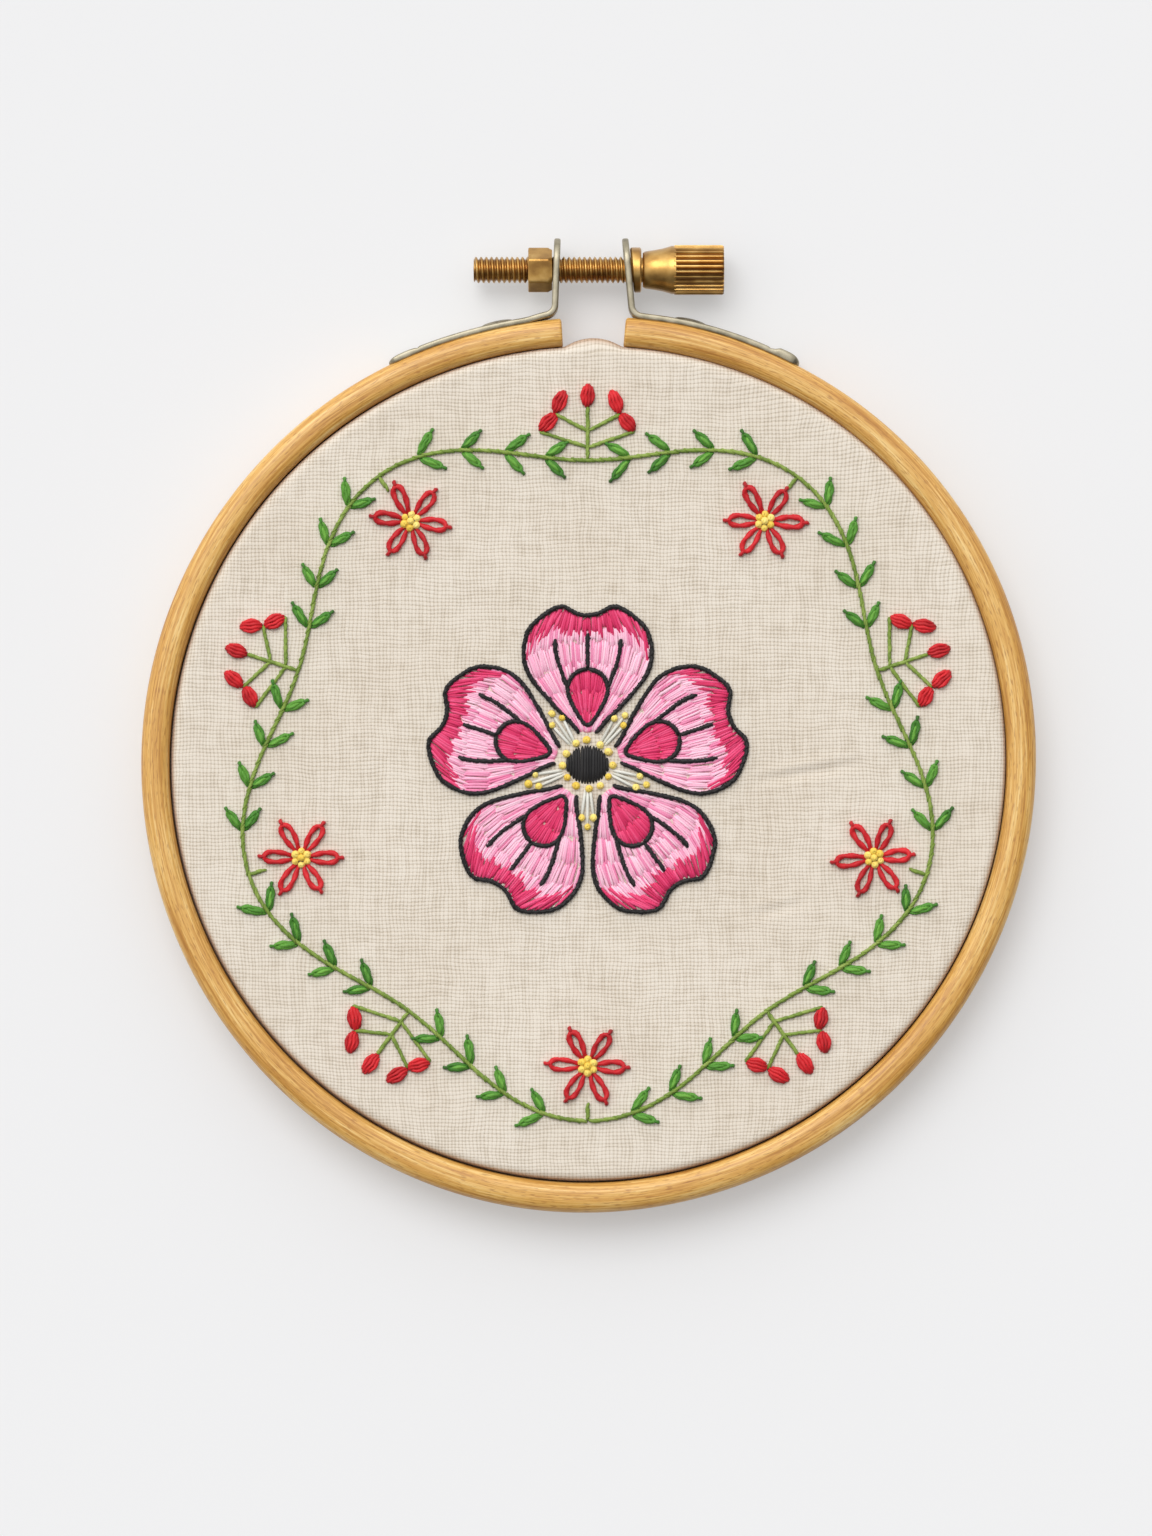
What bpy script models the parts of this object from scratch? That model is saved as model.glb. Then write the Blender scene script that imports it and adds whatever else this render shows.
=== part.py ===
"""Embroidered cloth stretched in a wooden embroidery hoop with a brass clamping screw.

The hoop lies on its back on the XY plane, face up, with the screw towards +Y.
Metres, +Z up, origin under the middle of the whole part. Sizes are given in millimetres times MM.
"""
from math import atan2, cos, degrees, pi, radians, sin, sqrt

import bmesh
import bpy
from mathutils import Vector

MM = 0.001

# Outer hoop: a split wooden ring
OUTER_RADIUS = 69.0 * MM
OUTER_INSIDE = 64.6 * MM
OUTER_HEIGHT = 9.5 * MM
OUTER_STEPS = 120
GAP_HALF_ANGLE = radians(4.3)
HARDWARE_TURN = radians(0.75)

# Inner hoop: a closed wooden ring
INNER_RADIUS = 63.0 * MM
INNER_INSIDE = 59.0 * MM
INNER_HEIGHT = 7.7 * MM
INNER_STEPS = 96

# Cloth: stretched over the inner hoop, its edge between the hoops
CLOTH_RADIUS = 64.3 * MM
CLOTH_THICKNESS = 1.0 * MM
CLOTH_FRONT = 9.0 * MM
CLOTH_EDGE_LOW = 1.0 * MM
CLOTH_CORNER = 1.3 * MM
CLOTH_FLAT_RADIUS = 60.0 * MM
CLOTH_STEPS = 144
PUFF_RISE = 1.4 * MM
PUFF_HALF_ANGLE = radians(3.9)
PUFF_START = 62.5 * MM

# Needlework, raised from the cloth's front
RELIEF_ROOT = 8.5 * MM
PETAL_TOP = 9.6 * MM
HEART_TOP = 9.9 * MM
FLOWER_TOP = 9.65 * MM
LEAF_TOP = 9.45 * MM
VINE_TOP = 9.55 * MM
BERRY_TOP = 9.7 * MM
REPEATS = 5
PETAL_SIDE = [  # radius in mm, half angle in degrees
    (5.0, 20.0),
    (9.0, 30.0),
    (13.0, 34.0),
    (17.0, 34.5),
    (20.0, 31.0),
    (23.0, 24.0),
    (25.3, 14.0),
    (24.6, 7.0),
]
PETAL_NOTCH = 23.4 * MM
HEART_RADIUS = 4.2 * MM
VINE_RADIUS = 51.0 * MM
VINE_SWING = 4.0 * MM
VINE_WIDTH = 1.0 * MM
VINE_POINTS = 90
FLOWER_RING = 46.5 * MM
FLOWER_RADIUS = 4.6 * MM
FLOWER_WAVE = 1.7 * MM
FLOWER_PETALS = 6
FLOWER_POINTS = 24
LEAF_OFFSETS = [7.0, 14.0, 21.0, 28.0]
LEAF_LENGTH = 4.4 * MM
LEAF_WIDTH = 1.9 * MM
LEAF_SPREAD = radians(38.0)
BERRY_LENGTH = 3.6 * MM
BERRY_WIDTH = 2.5 * MM
BERRY_PLACES = [  # radius in mm, offset in degrees, turn from the radial in degrees
    (57.0, 0.0, 0.0),
    (56.2, 4.4, -28.0),
    (56.2, -4.4, 28.0),
    (53.2, 6.6, -48.0),
    (53.2, -6.6, 48.0),
]
STALK_WIDTH = 0.9 * MM
BERRY_STALK_END = 56.0 * MM

# Clamp: two steel lugs, a nut, a collar and a screw
MID_HEIGHT = OUTER_HEIGHT / 2
AXIS_Y = 76.6 * MM
CLEARANCE = 0.3 * MM
STRIP = 1.0 * MM
LUG_WIDTH = 7.6 * MM
LUG_BLANK = 8.0 * MM
LUG_TOP = 81.3 * MM
LUG_FOOT_ANGLE = radians(27.1)
LUG_BEND_RADIUS = 1.7 * MM
LUG_CLAW_ANGLE = radians(3.7)
LUG_CLAW_RISE = 0.4 * MM
EAR_HOLE_RADIUS = 2.4 * MM
RIVET_ANGLE = radians(12.3)
RIVET_RADIUS = 2.5 * MM
RIVET_RISE = 0.45 * MM
LUGS = {  # side of the gap, distance of the ear from the middle at the axis, lean in degrees
    "lug_left": (-1, 5.75 * MM, 2.1),
    "lug_right": (1, 5.35 * MM, 5.4),
}
NUT_START = -10.06 * MM
NUT_END = -6.68 * MM
NUT_RADIUS = 3.55 * MM
NUT_TURN = radians(12.0)
BORE_RADIUS = 2.35 * MM
COLLAR_START = 6.46 * MM
COLLAR_END = 7.4 * MM
COLLAR_RADIUS = 3.5 * MM
SCREW_TIP = -18.3 * MM
THREAD_END = 4.6 * MM
THREAD_PITCH = 0.8 * MM
THREAD_CREST = 2.05 * MM
THREAD_ROOT = 1.68 * MM
SHANK_RADIUS = 1.95 * MM
ROD_STEPS = 14
CONE_START = 7.75 * MM
CONE_SMALL = 2.95 * MM
CONE_LARGE = 3.6 * MM
HEAD_START = 12.27 * MM
HEAD_END = 20.27 * MM
HEAD_RADIUS = 3.85 * MM
HEAD_ROUNDING = 0.55 * MM
HEAD_RIDGES = 28
HEAD_GROOVE = 0.3 * MM

# The hoop's centre lies below the middle of the box, because the lugs stand above the ring
HOOP_Y = (OUTER_RADIUS - LUG_TOP) / 2
HARDWARE_X = OUTER_RADIUS * sin(HARDWARE_TURN)
GAP_ANGLE = pi / 2 - HARDWARE_TURN


def clear_scene():
    """Remove every object, so that the script can be run again in the same file."""
    for obj in list(bpy.data.objects):
        bpy.data.objects.remove(obj, do_unlink=True)


def make_collection(name):
    """A new collection in the scene."""
    collection = bpy.data.collections.new(name)
    bpy.context.scene.collection.children.link(collection)
    return collection


def make_material(name, colour, roughness, metallic=0.0):
    """A Principled material of one colour."""
    material = bpy.data.materials.new(name)
    material.use_nodes = True
    shader = material.node_tree.nodes["Principled BSDF"]
    shader.inputs["Base Color"].default_value = (*colour, 1.0)
    shader.inputs["Roughness"].default_value = roughness
    shader.inputs["Metallic"].default_value = metallic
    return material


def polar(radius, angle):
    """A point on the XY plane."""
    return Vector((radius * cos(angle), radius * sin(angle)))


def arc_points(centre, radius, start, end, segments):
    """Points of an arc about a centre, both ends included."""
    return [centre + polar(radius, start + (end - start) * i / segments) for i in range(segments + 1)]


def turned_mesh(name, profile, steps, closed):
    """Turn a profile of (radius, height) points once round Z and return the plain mesh."""
    mesh = bpy.data.meshes.new(name)
    edges = [(i, i + 1) for i in range(len(profile) - 1)]
    if closed:
        edges.append((len(profile) - 1, 0))
    mesh.from_pydata([(point[0], 0.0, point[1]) for point in profile], edges, [])
    guide = bpy.data.objects.new(name, mesh)
    bpy.context.scene.collection.objects.link(guide)
    screw = guide.modifiers.new("Turn", "SCREW")
    screw.axis = "Z"
    screw.steps = steps
    screw.render_steps = steps
    screw.use_merge_vertices = True
    screw.merge_threshold = 0.00001
    return evaluated_mesh(guide)


def outline_mesh(name, outlines, low, high):
    """Flat outlines on the XY plane, given a thickness from low to high."""
    curve = bpy.data.curves.new(name, "CURVE")
    curve.dimensions = "2D"
    curve.fill_mode = "BOTH"
    curve.extrude = (high - low) / 2
    for outline in outlines:
        spline = curve.splines.new("POLY")
        spline.points.add(len(outline) - 1)
        for point, place in zip(spline.points, outline):
            point.co = (place[0], place[1], 0.0, 1.0)
        spline.use_cyclic_u = True
    guide = bpy.data.objects.new(name, curve)
    bpy.context.scene.collection.objects.link(guide)
    mesh = evaluated_mesh(guide)
    for vertex in mesh.vertices:
        vertex.co.z += (low + high) / 2
    return mesh


def evaluated_mesh(guide):
    """A plain mesh of an object with its modifiers, welded; the object itself is removed."""
    bpy.context.view_layer.update()
    depsgraph = bpy.context.evaluated_depsgraph_get()
    mesh = bpy.data.meshes.new_from_object(guide.evaluated_get(depsgraph))
    bpy.data.objects.remove(guide, do_unlink=True)
    work = bmesh.new()
    work.from_mesh(mesh)
    bmesh.ops.remove_doubles(work, verts=work.verts, dist=0.000001)
    bmesh.ops.recalc_face_normals(work, faces=work.faces)
    work.to_mesh(mesh)
    work.free()
    return mesh


def add_part(name, mesh, material):
    """An object of the model, under the hoop's centre."""
    obj = bpy.data.objects.new(name, mesh)
    parts.objects.link(obj)
    obj.parent = hoop_centre
    obj.data.materials.clear()
    obj.data.materials.append(material)
    obj.data.shade_smooth()
    obj.data.set_sharp_from_angle(angle=radians(35.0))
    return obj


def add_cutter(name, mesh):
    """A helper solid, left out of the model, under the hoop's centre."""
    obj = bpy.data.objects.new(name, mesh)
    cutters.objects.link(obj)
    obj.parent = hoop_centre
    obj.hide_render = True
    obj.display_type = "WIRE"
    return obj


def combine(target, helper, operation):
    """Cut, join or trim a part with a helper solid."""
    boolean = target.modifiers.new(helper.name, "BOOLEAN")
    boolean.operation = operation
    boolean.solver = "EXACT"
    boolean.object = helper


def cylinder_mesh(name, radius, start, end, segments=24):
    """A cylinder along Z from start to end."""
    mesh = bpy.data.meshes.new(name)
    work = bmesh.new()
    bmesh.ops.create_cone(work, cap_ends=True, segments=segments, radius1=radius, radius2=radius,
                          depth=end - start)
    bmesh.ops.translate(work, verts=work.verts, vec=(0.0, 0.0, (start + end) / 2))
    work.to_mesh(mesh)
    work.free()
    return mesh


def ring_section(inside, outside, height, roundings, segments):
    """Closed section of a ring, clockwise from its front inner corner, with rounded corners.

    roundings and segments are given for the front inner, front outer, back outer and back inner corner.
    """
    corners = [
        (inside + roundings[0], height - roundings[0], pi),
        (outside - roundings[1], height - roundings[1], pi / 2),
        (outside - roundings[2], roundings[2], 0.0),
        (inside + roundings[3], roundings[3], -pi / 2),
    ]
    section = []
    for (x, z, start), rounding, count in zip(corners, roundings, segments):
        section += arc_points(Vector((x, z)), rounding, start, start - pi / 2, count)
    return section


def make_outer_hoop(wood):
    """Bentwood ring with softened corners, sawn through where the screw sits."""
    section = ring_section(OUTER_INSIDE, OUTER_RADIUS, OUTER_HEIGHT,
                           [0.9 * MM, 2.0 * MM, 0.8 * MM, 0.5 * MM], [2, 3, 1, 1])
    hoop = add_part("outer_hoop", turned_mesh("outer_hoop", section, OUTER_STEPS, True), wood)
    reach = OUTER_RADIUS + 5 * MM
    wedge = [
        (0.0, 0.0),
        polar(reach, GAP_ANGLE - GAP_HALF_ANGLE),
        polar(reach, GAP_ANGLE + GAP_HALF_ANGLE),
    ]
    gap = add_cutter("gap_wedge", outline_mesh("gap_wedge", [wedge], -MM, OUTER_HEIGHT + MM))
    combine(hoop, gap, "DIFFERENCE")


def make_inner_hoop(wood):
    """Closed ring that the cloth is stretched over."""
    section = ring_section(INNER_INSIDE, INNER_RADIUS, INNER_HEIGHT,
                           [0.5 * MM, 0.6 * MM, 0.5 * MM, 0.5 * MM], [1, 1, 1, 1])
    add_part("inner_hoop", turned_mesh("inner_hoop", section, INNER_STEPS, True), wood)


def cloth_section():
    """Open section of the stretched cloth, from its front over the hoop's edge to its underside."""
    inside = CLOTH_RADIUS - CLOTH_THICKNESS
    underside = CLOTH_FRONT - CLOTH_THICKNESS
    corner = Vector((CLOTH_RADIUS - CLOTH_CORNER, CLOTH_FRONT - CLOTH_CORNER))
    section = [Vector((CLOTH_FLAT_RADIUS, CLOTH_FRONT))]
    section += arc_points(corner, CLOTH_CORNER, pi / 2, 0.0, 3)
    section += [Vector((CLOTH_RADIUS, CLOTH_EDGE_LOW)), Vector((inside, CLOTH_EDGE_LOW))]
    section += arc_points(corner, CLOTH_CORNER - CLOTH_THICKNESS, 0.0, pi / 2, 1)
    section += [Vector((CLOTH_FLAT_RADIUS, underside))]
    return section


def gap_turn(point):
    """Angle of a point round the hoop, counted from the middle of the gap."""
    return atan2(point.y, point.x) - GAP_ANGLE


def puff_out(work):
    """Let the cloth bulge through the gap of the outer hoop."""
    for share in (-0.9, -0.6, -0.3, 0.0, 0.3, 0.6, 0.9):
        angle = GAP_ANGLE + share * PUFF_HALF_ANGLE
        near = [
            face for face in work.faces
            if abs(gap_turn(face.calc_center_median())) < 2 * PUFF_HALF_ANGLE
        ]
        edges = {edge for face in near for edge in face.edges}
        corners = {corner for face in near for corner in face.verts}
        bmesh.ops.bisect_plane(work, geom=near + list(edges) + list(corners), dist=0.000001,
                               plane_co=(0.0, 0.0, 0.0), plane_no=(-sin(angle), cos(angle), 0.0))
    for vertex in work.verts:
        radius = vertex.co.xy.length
        share = gap_turn(vertex.co) / PUFF_HALF_ANGLE
        if radius < PUFF_START or abs(share) > 1.0:
            continue
        reach = min(1.0, (radius - PUFF_START) / (CLOTH_RADIUS - CLOTH_THICKNESS - PUFF_START))
        vertex.co.xy *= 1.0 + PUFF_RISE * reach * (1.0 - share ** 2) / radius


def vine_radius(angle):
    """The vine swings out at the bottom and at every fifth of a turn from there."""
    return VINE_RADIUS + VINE_SWING * cos(REPEATS * (angle + pi / 2))


def petal_outline(middle):
    """Outline of one big petal, with a shallow notch in its tip."""
    left = [polar(radius * MM, middle + radians(half)) for radius, half in PETAL_SIDE]
    right = [polar(radius * MM, middle - radians(half)) for radius, half in PETAL_SIDE]
    return right + [polar(PETAL_NOTCH, middle)] + left[::-1]


def oval(centre, direction, length, width, points=8):
    """Outline of a berry about its centre."""
    along = polar(length / 2, direction)
    across = polar(width / 2, direction + pi / 2)
    turns = [2 * pi * i / points for i in range(points)]
    return [centre + along * cos(turn) + across * sin(turn) for turn in turns]


def leaf_outline(root, direction):
    """Outline of a leaf that starts at its root."""
    tip = root + polar(LEAF_LENGTH, direction)
    across = polar(LEAF_WIDTH / 2, direction + pi / 2)
    near = root.lerp(tip, 0.35)
    far = root.lerp(tip, 0.72)
    return [root, near - across, far - across * 0.75, tip, far + across * 0.75, near + across]


def stalk(start, end):
    """Outline of a straight stalk between two points."""
    along = (end - start).normalized()
    across = Vector((-along.y, along.x)) * STALK_WIDTH / 2
    return [start - across, end - across, end + across, start + across]


def leaf_outlines():
    """Pairs of leaves along the vine, growing from the bottom up both sides."""
    leaves = []
    crests = [-pi / 2 + 2 * pi * k / REPEATS for k in range(REPEATS)]
    for crest in crests:
        for offset in [side * radians(offset) for side in (-1, 1) for offset in LEAF_OFFSETS]:
            angle = crest + offset
            root = polar(vine_radius(angle), angle)
            step = radians(0.5)
            ahead = polar(vine_radius(angle + step), angle + step) - root
            growth = 1 if root.x > 0 else -1
            travel = atan2(growth * ahead.y, growth * ahead.x)
            leaves += [leaf_outline(root, travel + spread) for spread in (-LEAF_SPREAD, LEAF_SPREAD)]
    return leaves


def make_cloth(cotton):
    """Stretched cloth with its raised needlework: a blossom in a ring of vine, flowers and berries."""
    mesh = turned_mesh("cloth", cloth_section(), CLOTH_STEPS, False)
    work = bmesh.new()
    work.from_mesh(mesh)
    puff_out(work)
    bmesh.ops.holes_fill(work, edges=work.edges, sides=0)
    bmesh.ops.recalc_face_normals(work, faces=work.faces)
    work.to_mesh(mesh)
    work.free()
    cloth = add_part("cloth", mesh, cotton)

    bays = [-pi / 2 + 2 * pi * k / REPEATS for k in range(REPEATS)]
    sprays = [pi / 2 + 2 * pi * k / REPEATS for k in range(REPEATS)]
    heart = [polar(HEART_RADIUS, 2 * pi * i / 20) for i in range(20)]
    turns = [2 * pi * i / VINE_POINTS for i in range(VINE_POINTS)]
    vine = [[polar(vine_radius(turn) + side * VINE_WIDTH / 2, turn) for turn in turns] for side in (1, -1)]
    rosette = [
        polar(FLOWER_RADIUS + FLOWER_WAVE * cos(FLOWER_PETALS * turn), turn)
        for turn in (2 * pi * i / FLOWER_POINTS for i in range(FLOWER_POINTS))
    ]
    flowers = [[polar(FLOWER_RING, bay) + point for point in rosette] for bay in bays]
    berries = [
        oval(polar(radius * MM, spray + radians(offset)), spray + radians(offset + turn),
             BERRY_LENGTH, BERRY_WIDTH)
        for spray in sprays for radius, offset, turn in BERRY_PLACES
    ]
    stalks = [stalk(polar(FLOWER_RING, bay), polar(vine_radius(bay), bay)) for bay in bays]
    stalks += [stalk(polar(vine_radius(spray), spray), polar(BERRY_STALK_END, spray)) for spray in sprays]
    layers = [
        ("petals", [petal_outline(spray) for spray in sprays], PETAL_TOP),
        ("heart", [heart], HEART_TOP),
        ("leaves", leaf_outlines(), LEAF_TOP),
        ("stalks", stalks, VINE_TOP - 0.03 * MM),
        ("vine", vine, VINE_TOP),
        ("flowers", flowers, FLOWER_TOP),
        ("berries", berries, BERRY_TOP),
    ]
    for name, outlines, top in layers:
        layer = add_cutter("raised_" + name, outline_mesh(name, outlines, RELIEF_ROOT, top))
        combine(cloth, layer, "UNION")


def lug_outline(side, distance, lean):
    """Side view of a bent strip: the ear down to the bend, then the foot along the outer hoop."""
    half = STRIP / 2
    foot = OUTER_RADIUS + CLEARANCE + half
    up = Vector((-side * sin(lean), cos(lean)))
    away = Vector((side * cos(lean), sin(lean)))
    at_axis = Vector((HARDWARE_X + side * distance, AXIS_Y))
    top = at_axis + up * (LUG_TOP - AXIS_Y) / up.y

    start = at_axis + away * LUG_BEND_RADIUS
    drop = -up.dot(start) + sqrt((foot + LUG_BEND_RADIUS) ** 2 - away.dot(start) ** 2)
    centre = start + up * drop
    to_ear = atan2(-away.y, -away.x)
    to_foot = atan2(-centre.y, -centre.x)
    sweep = (to_foot - to_ear + pi) % (2 * pi) - pi
    foot_start = atan2(centre.y, centre.x)
    foot_end = GAP_ANGLE - side * LUG_FOOT_ANGLE
    claw = foot_end + side * LUG_CLAW_ANGLE

    gap_side = [top - away * half]
    gap_side += arc_points(centre, LUG_BEND_RADIUS + half, to_ear, to_ear + sweep, 4)
    gap_side += arc_points(Vector((0.0, 0.0)), foot - half, foot_start, foot_end, 10)[1:]
    far_side = arc_points(Vector((0.0, 0.0)), foot + half + LUG_CLAW_RISE, foot_end, claw, 2)
    far_side += arc_points(Vector((0.0, 0.0)), foot + half, claw, foot_start, 8)[:-1]
    far_side += arc_points(centre, LUG_BEND_RADIUS - half, to_ear + sweep, to_ear, 4)
    far_side += [top + away * half]
    return gap_side + far_side


def make_lug(name, side, distance, lean_degrees, steel):
    """Stamped strip: round-topped pierced ear, bent foot, rivet head."""
    lean = radians(lean_degrees)
    low = MID_HEIGHT - LUG_BLANK / 2
    blank = outline_mesh(name, [lug_outline(side, distance, lean)], low, low + LUG_BLANK)
    lug = add_part(name, blank, steel)

    rounding = LUG_WIDTH / 2
    crown = Vector((0.0, LUG_TOP - rounding))
    tab = arc_points(crown, rounding, 0.0, pi, 12)
    tab += [Vector((-rounding, 0.0)), Vector((rounding, 0.0))]
    reach = OUTER_RADIUS
    trimmer = add_cutter(name + "_trim", outline_mesh(name + "_trim", [tab], -reach, reach))
    trimmer.rotation_euler = (0.0, pi / 2, 0.0)
    trimmer.location = (0.0, 0.0, MID_HEIGHT)
    combine(lug, trimmer, "INTERSECT")

    hole = add_cutter(name + "_hole", cylinder_mesh(name + "_hole", EAR_HOLE_RADIUS, 0.0, 9 * MM))
    hole.rotation_euler = (0.0, side * pi / 2, 0.0)
    hole.location = (HARDWARE_X, AXIS_Y, MID_HEIGHT)
    combine(lug, hole, "DIFFERENCE")

    face = OUTER_RADIUS + CLEARANCE + STRIP
    head = cylinder_mesh(name + "_rivet", RIVET_RADIUS, -STRIP / 2, RIVET_RISE)
    rivet = add_cutter(name + "_rivet", head)
    angle = GAP_ANGLE - side * RIVET_ANGLE
    rivet.rotation_euler = (0.0, pi / 2, angle)
    rivet.location = (*polar(face, angle), MID_HEIGHT)
    combine(lug, rivet, "UNION")


def lay_on_axis(obj):
    """Turn an object made along Z onto the screw's axis."""
    obj.rotation_euler = (0.0, pi / 2, 0.0)
    obj.location = (HARDWARE_X, AXIS_Y, MID_HEIGHT)


def make_nut(brass):
    """Six-sided nut outside the left ear."""
    mesh = cylinder_mesh("nut", NUT_RADIUS, NUT_START, NUT_END, segments=6)
    for vertex in mesh.vertices:
        angle = atan2(vertex.co.y, vertex.co.x) + NUT_TURN
        vertex.co.xy = polar(vertex.co.xy.length, angle)
    nut = add_part("nut", mesh, brass)
    lay_on_axis(nut)
    rounding = nut.modifiers.new("Edges", "BEVEL")
    rounding.width = 0.3 * MM
    rounding.segments = 1
    bore = add_cutter("nut_bore", cylinder_mesh("nut_bore", BORE_RADIUS, NUT_START - MM, NUT_END + MM))
    lay_on_axis(bore)
    combine(nut, bore, "DIFFERENCE")


def make_collar(brass):
    """Washer outside the right ear."""
    edge = 0.15 * MM
    section = [
        (BORE_RADIUS, COLLAR_END),
        (COLLAR_RADIUS - edge, COLLAR_END),
        (COLLAR_RADIUS, COLLAR_END - edge),
        (COLLAR_RADIUS, COLLAR_START + edge),
        (COLLAR_RADIUS - edge, COLLAR_START),
        (BORE_RADIUS, COLLAR_START),
    ]
    collar = add_part("collar", turned_mesh("collar", section, 32, True), brass)
    lay_on_axis(collar)


def rod_profile():
    """Threaded rod from inside the cone down to the tip, the thread as plain ridges."""
    turns = int((THREAD_END - SCREW_TIP) / THREAD_PITCH)
    profile = [(0.0, CONE_START + MM), (SHANK_RADIUS, CONE_START + MM), (SHANK_RADIUS, THREAD_END)]
    for turn in range(turns):
        z = THREAD_END - (turn + 0.5) * THREAD_PITCH
        profile.append((THREAD_ROOT, z + 0.25 * THREAD_PITCH))
        profile.append((THREAD_CREST, z - 0.25 * THREAD_PITCH))
    profile += [(THREAD_ROOT, SCREW_TIP), (0.0, SCREW_TIP)]
    return profile


def make_screw(brass):
    """Threaded rod with a cone and a knurled head."""
    rod = add_part("screw", turned_mesh("screw", rod_profile(), ROD_STEPS, False), brass)
    lay_on_axis(rod)
    profile = [
        (0.0, HEAD_END),
        (HEAD_RADIUS - HEAD_ROUNDING, HEAD_END),
        (HEAD_RADIUS, HEAD_END - HEAD_ROUNDING),
        (HEAD_RADIUS, HEAD_START + HEAD_ROUNDING / 2),
        (CONE_LARGE, HEAD_START),
        (CONE_SMALL, CONE_START),
        (0.0, CONE_START),
    ]
    mesh = turned_mesh("screw_head", profile, 2 * HEAD_RIDGES, False)
    for vertex in mesh.vertices:
        column = round(atan2(vertex.co.y, vertex.co.x) / (pi / HEAD_RIDGES))
        radius = vertex.co.xy.length
        if column % 2 and radius > CONE_LARGE + 0.1 * MM:
            vertex.co.xy *= (radius - HEAD_GROOVE) / radius
    head = add_cutter("screw_head", mesh)
    lay_on_axis(head)
    combine(rod, head, "UNION")


clear_scene()
parts = make_collection("hoop_embroidery")
cutters = make_collection("cutters")
hoop_centre = bpy.data.objects.new("hoop_centre", None)
parts.objects.link(hoop_centre)
hoop_centre.location = (0.0, HOOP_Y, 0.0)

beech = make_material("beech_wood", (0.70, 0.42, 0.17), 0.5)
cotton = make_material("cotton_cloth", (0.74, 0.68, 0.56), 0.9)
steel = make_material("plated_steel", (0.55, 0.54, 0.52), 0.35, 1.0)
brass = make_material("brass", (0.78, 0.55, 0.22), 0.3, 1.0)

make_outer_hoop(beech)
make_inner_hoop(beech)
make_cloth(cotton)
for lug_name, (lug_side, lug_distance, lug_lean) in LUGS.items():
    make_lug(lug_name, lug_side, lug_distance, lug_lean, steel)
make_nut(brass)
make_collar(brass)
make_screw(brass)
bpy.context.view_layer.update()
for part in parts.objects:
    print(part.name, "at", [round(value / MM, 2) for value in part.matrix_world.translation])
print("gap towards", round(degrees(GAP_ANGLE), 2), "degrees")
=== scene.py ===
# %% [markdown]
# Embroidery in a wooden hoop, seen from straight above.
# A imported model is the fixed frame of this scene: it says where the two hoops, the cloth and the clamp
# are, and which of them move. The scene makes each of them again with a finer form and a real finish,
# in the same place, and lets every new piece ride on the body of the plain one that it stands for.

# %% Load the frame
import random
from bisect import bisect_right
from collections import namedtuple
from math import atan2, cos, degrees, exp, pi, radians, sin, sqrt

import bmesh
import bpy
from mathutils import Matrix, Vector, noise


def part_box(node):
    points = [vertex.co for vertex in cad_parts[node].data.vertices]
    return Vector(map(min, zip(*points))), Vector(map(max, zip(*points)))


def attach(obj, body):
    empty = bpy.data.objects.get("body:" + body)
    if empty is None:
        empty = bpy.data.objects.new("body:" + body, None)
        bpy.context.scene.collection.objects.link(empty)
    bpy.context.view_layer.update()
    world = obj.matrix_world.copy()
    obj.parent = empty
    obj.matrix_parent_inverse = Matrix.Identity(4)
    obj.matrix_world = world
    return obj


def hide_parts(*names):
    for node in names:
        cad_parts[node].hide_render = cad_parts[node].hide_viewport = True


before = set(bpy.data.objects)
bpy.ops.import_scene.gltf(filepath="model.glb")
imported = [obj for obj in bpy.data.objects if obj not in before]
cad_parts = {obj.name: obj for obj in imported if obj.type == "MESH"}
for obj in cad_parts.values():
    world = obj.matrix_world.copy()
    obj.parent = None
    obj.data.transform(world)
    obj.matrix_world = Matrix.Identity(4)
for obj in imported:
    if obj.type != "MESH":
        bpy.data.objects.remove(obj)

MM = 0.001
WHITE = (1.0, 1.0, 1.0, 1.0)
scene = bpy.context.scene
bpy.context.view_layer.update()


def placed(name, data):
    """A new object in the scene, from its data."""
    thing = bpy.data.objects.new(name, data)
    scene.collection.objects.link(thing)
    return thing


def in_mm(values, digits=1):
    """Metres as rounded millimetres, for the printed lines."""
    return [round(value / MM, digits) for value in values]


# %% [markdown]
# Every place below is counted from the middle of the hoop, and every height from the table that the
# hoop lies on. The frame gives both: the outer hoop's box is as wide as the ring, and the ring is
# lowest where its box is. The screw's line is the middle of the collar that it runs through.

# %% Where the hoop and the screw lie
outer_low, outer_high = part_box("outer_hoop")
collar_low, collar_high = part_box("collar")
screw_low, screw_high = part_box("screw")
OUTER_RADIUS = (outer_high.x - outer_low.x) / 2
OUTER_HEIGHT = outer_high.z
HOOP = Vector(((outer_low.x + outer_high.x) / 2, outer_low.y + OUTER_RADIUS, 0.0))
AXIS_Y = (collar_low.y + collar_high.y) / 2 - HOOP.y
AXIS_Z = (collar_low.z + collar_high.z) / 2
GAP_ANGLE = radians(89.25)
GAP_HALF_ANGLE = radians(4.13)
CLAMP_X = OUTER_RADIUS * cos(GAP_ANGLE)
CLAMP = HOOP + Vector((CLAMP_X, AXIS_Y, AXIS_Z))
print("hoop centre", in_mm(HOOP, 2), "radius", round(OUTER_RADIUS / MM, 2))

# %% [markdown]
# The photograph looks straight down, so the camera hangs over the hoop and looks along -Z with +Y up.
# The ring's outer edge has a known radius in the picture, which gives the size of a pixel. The lens
# follows from that and from the camera's distance, and the hoop's place in the picture shifts the camera.

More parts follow.
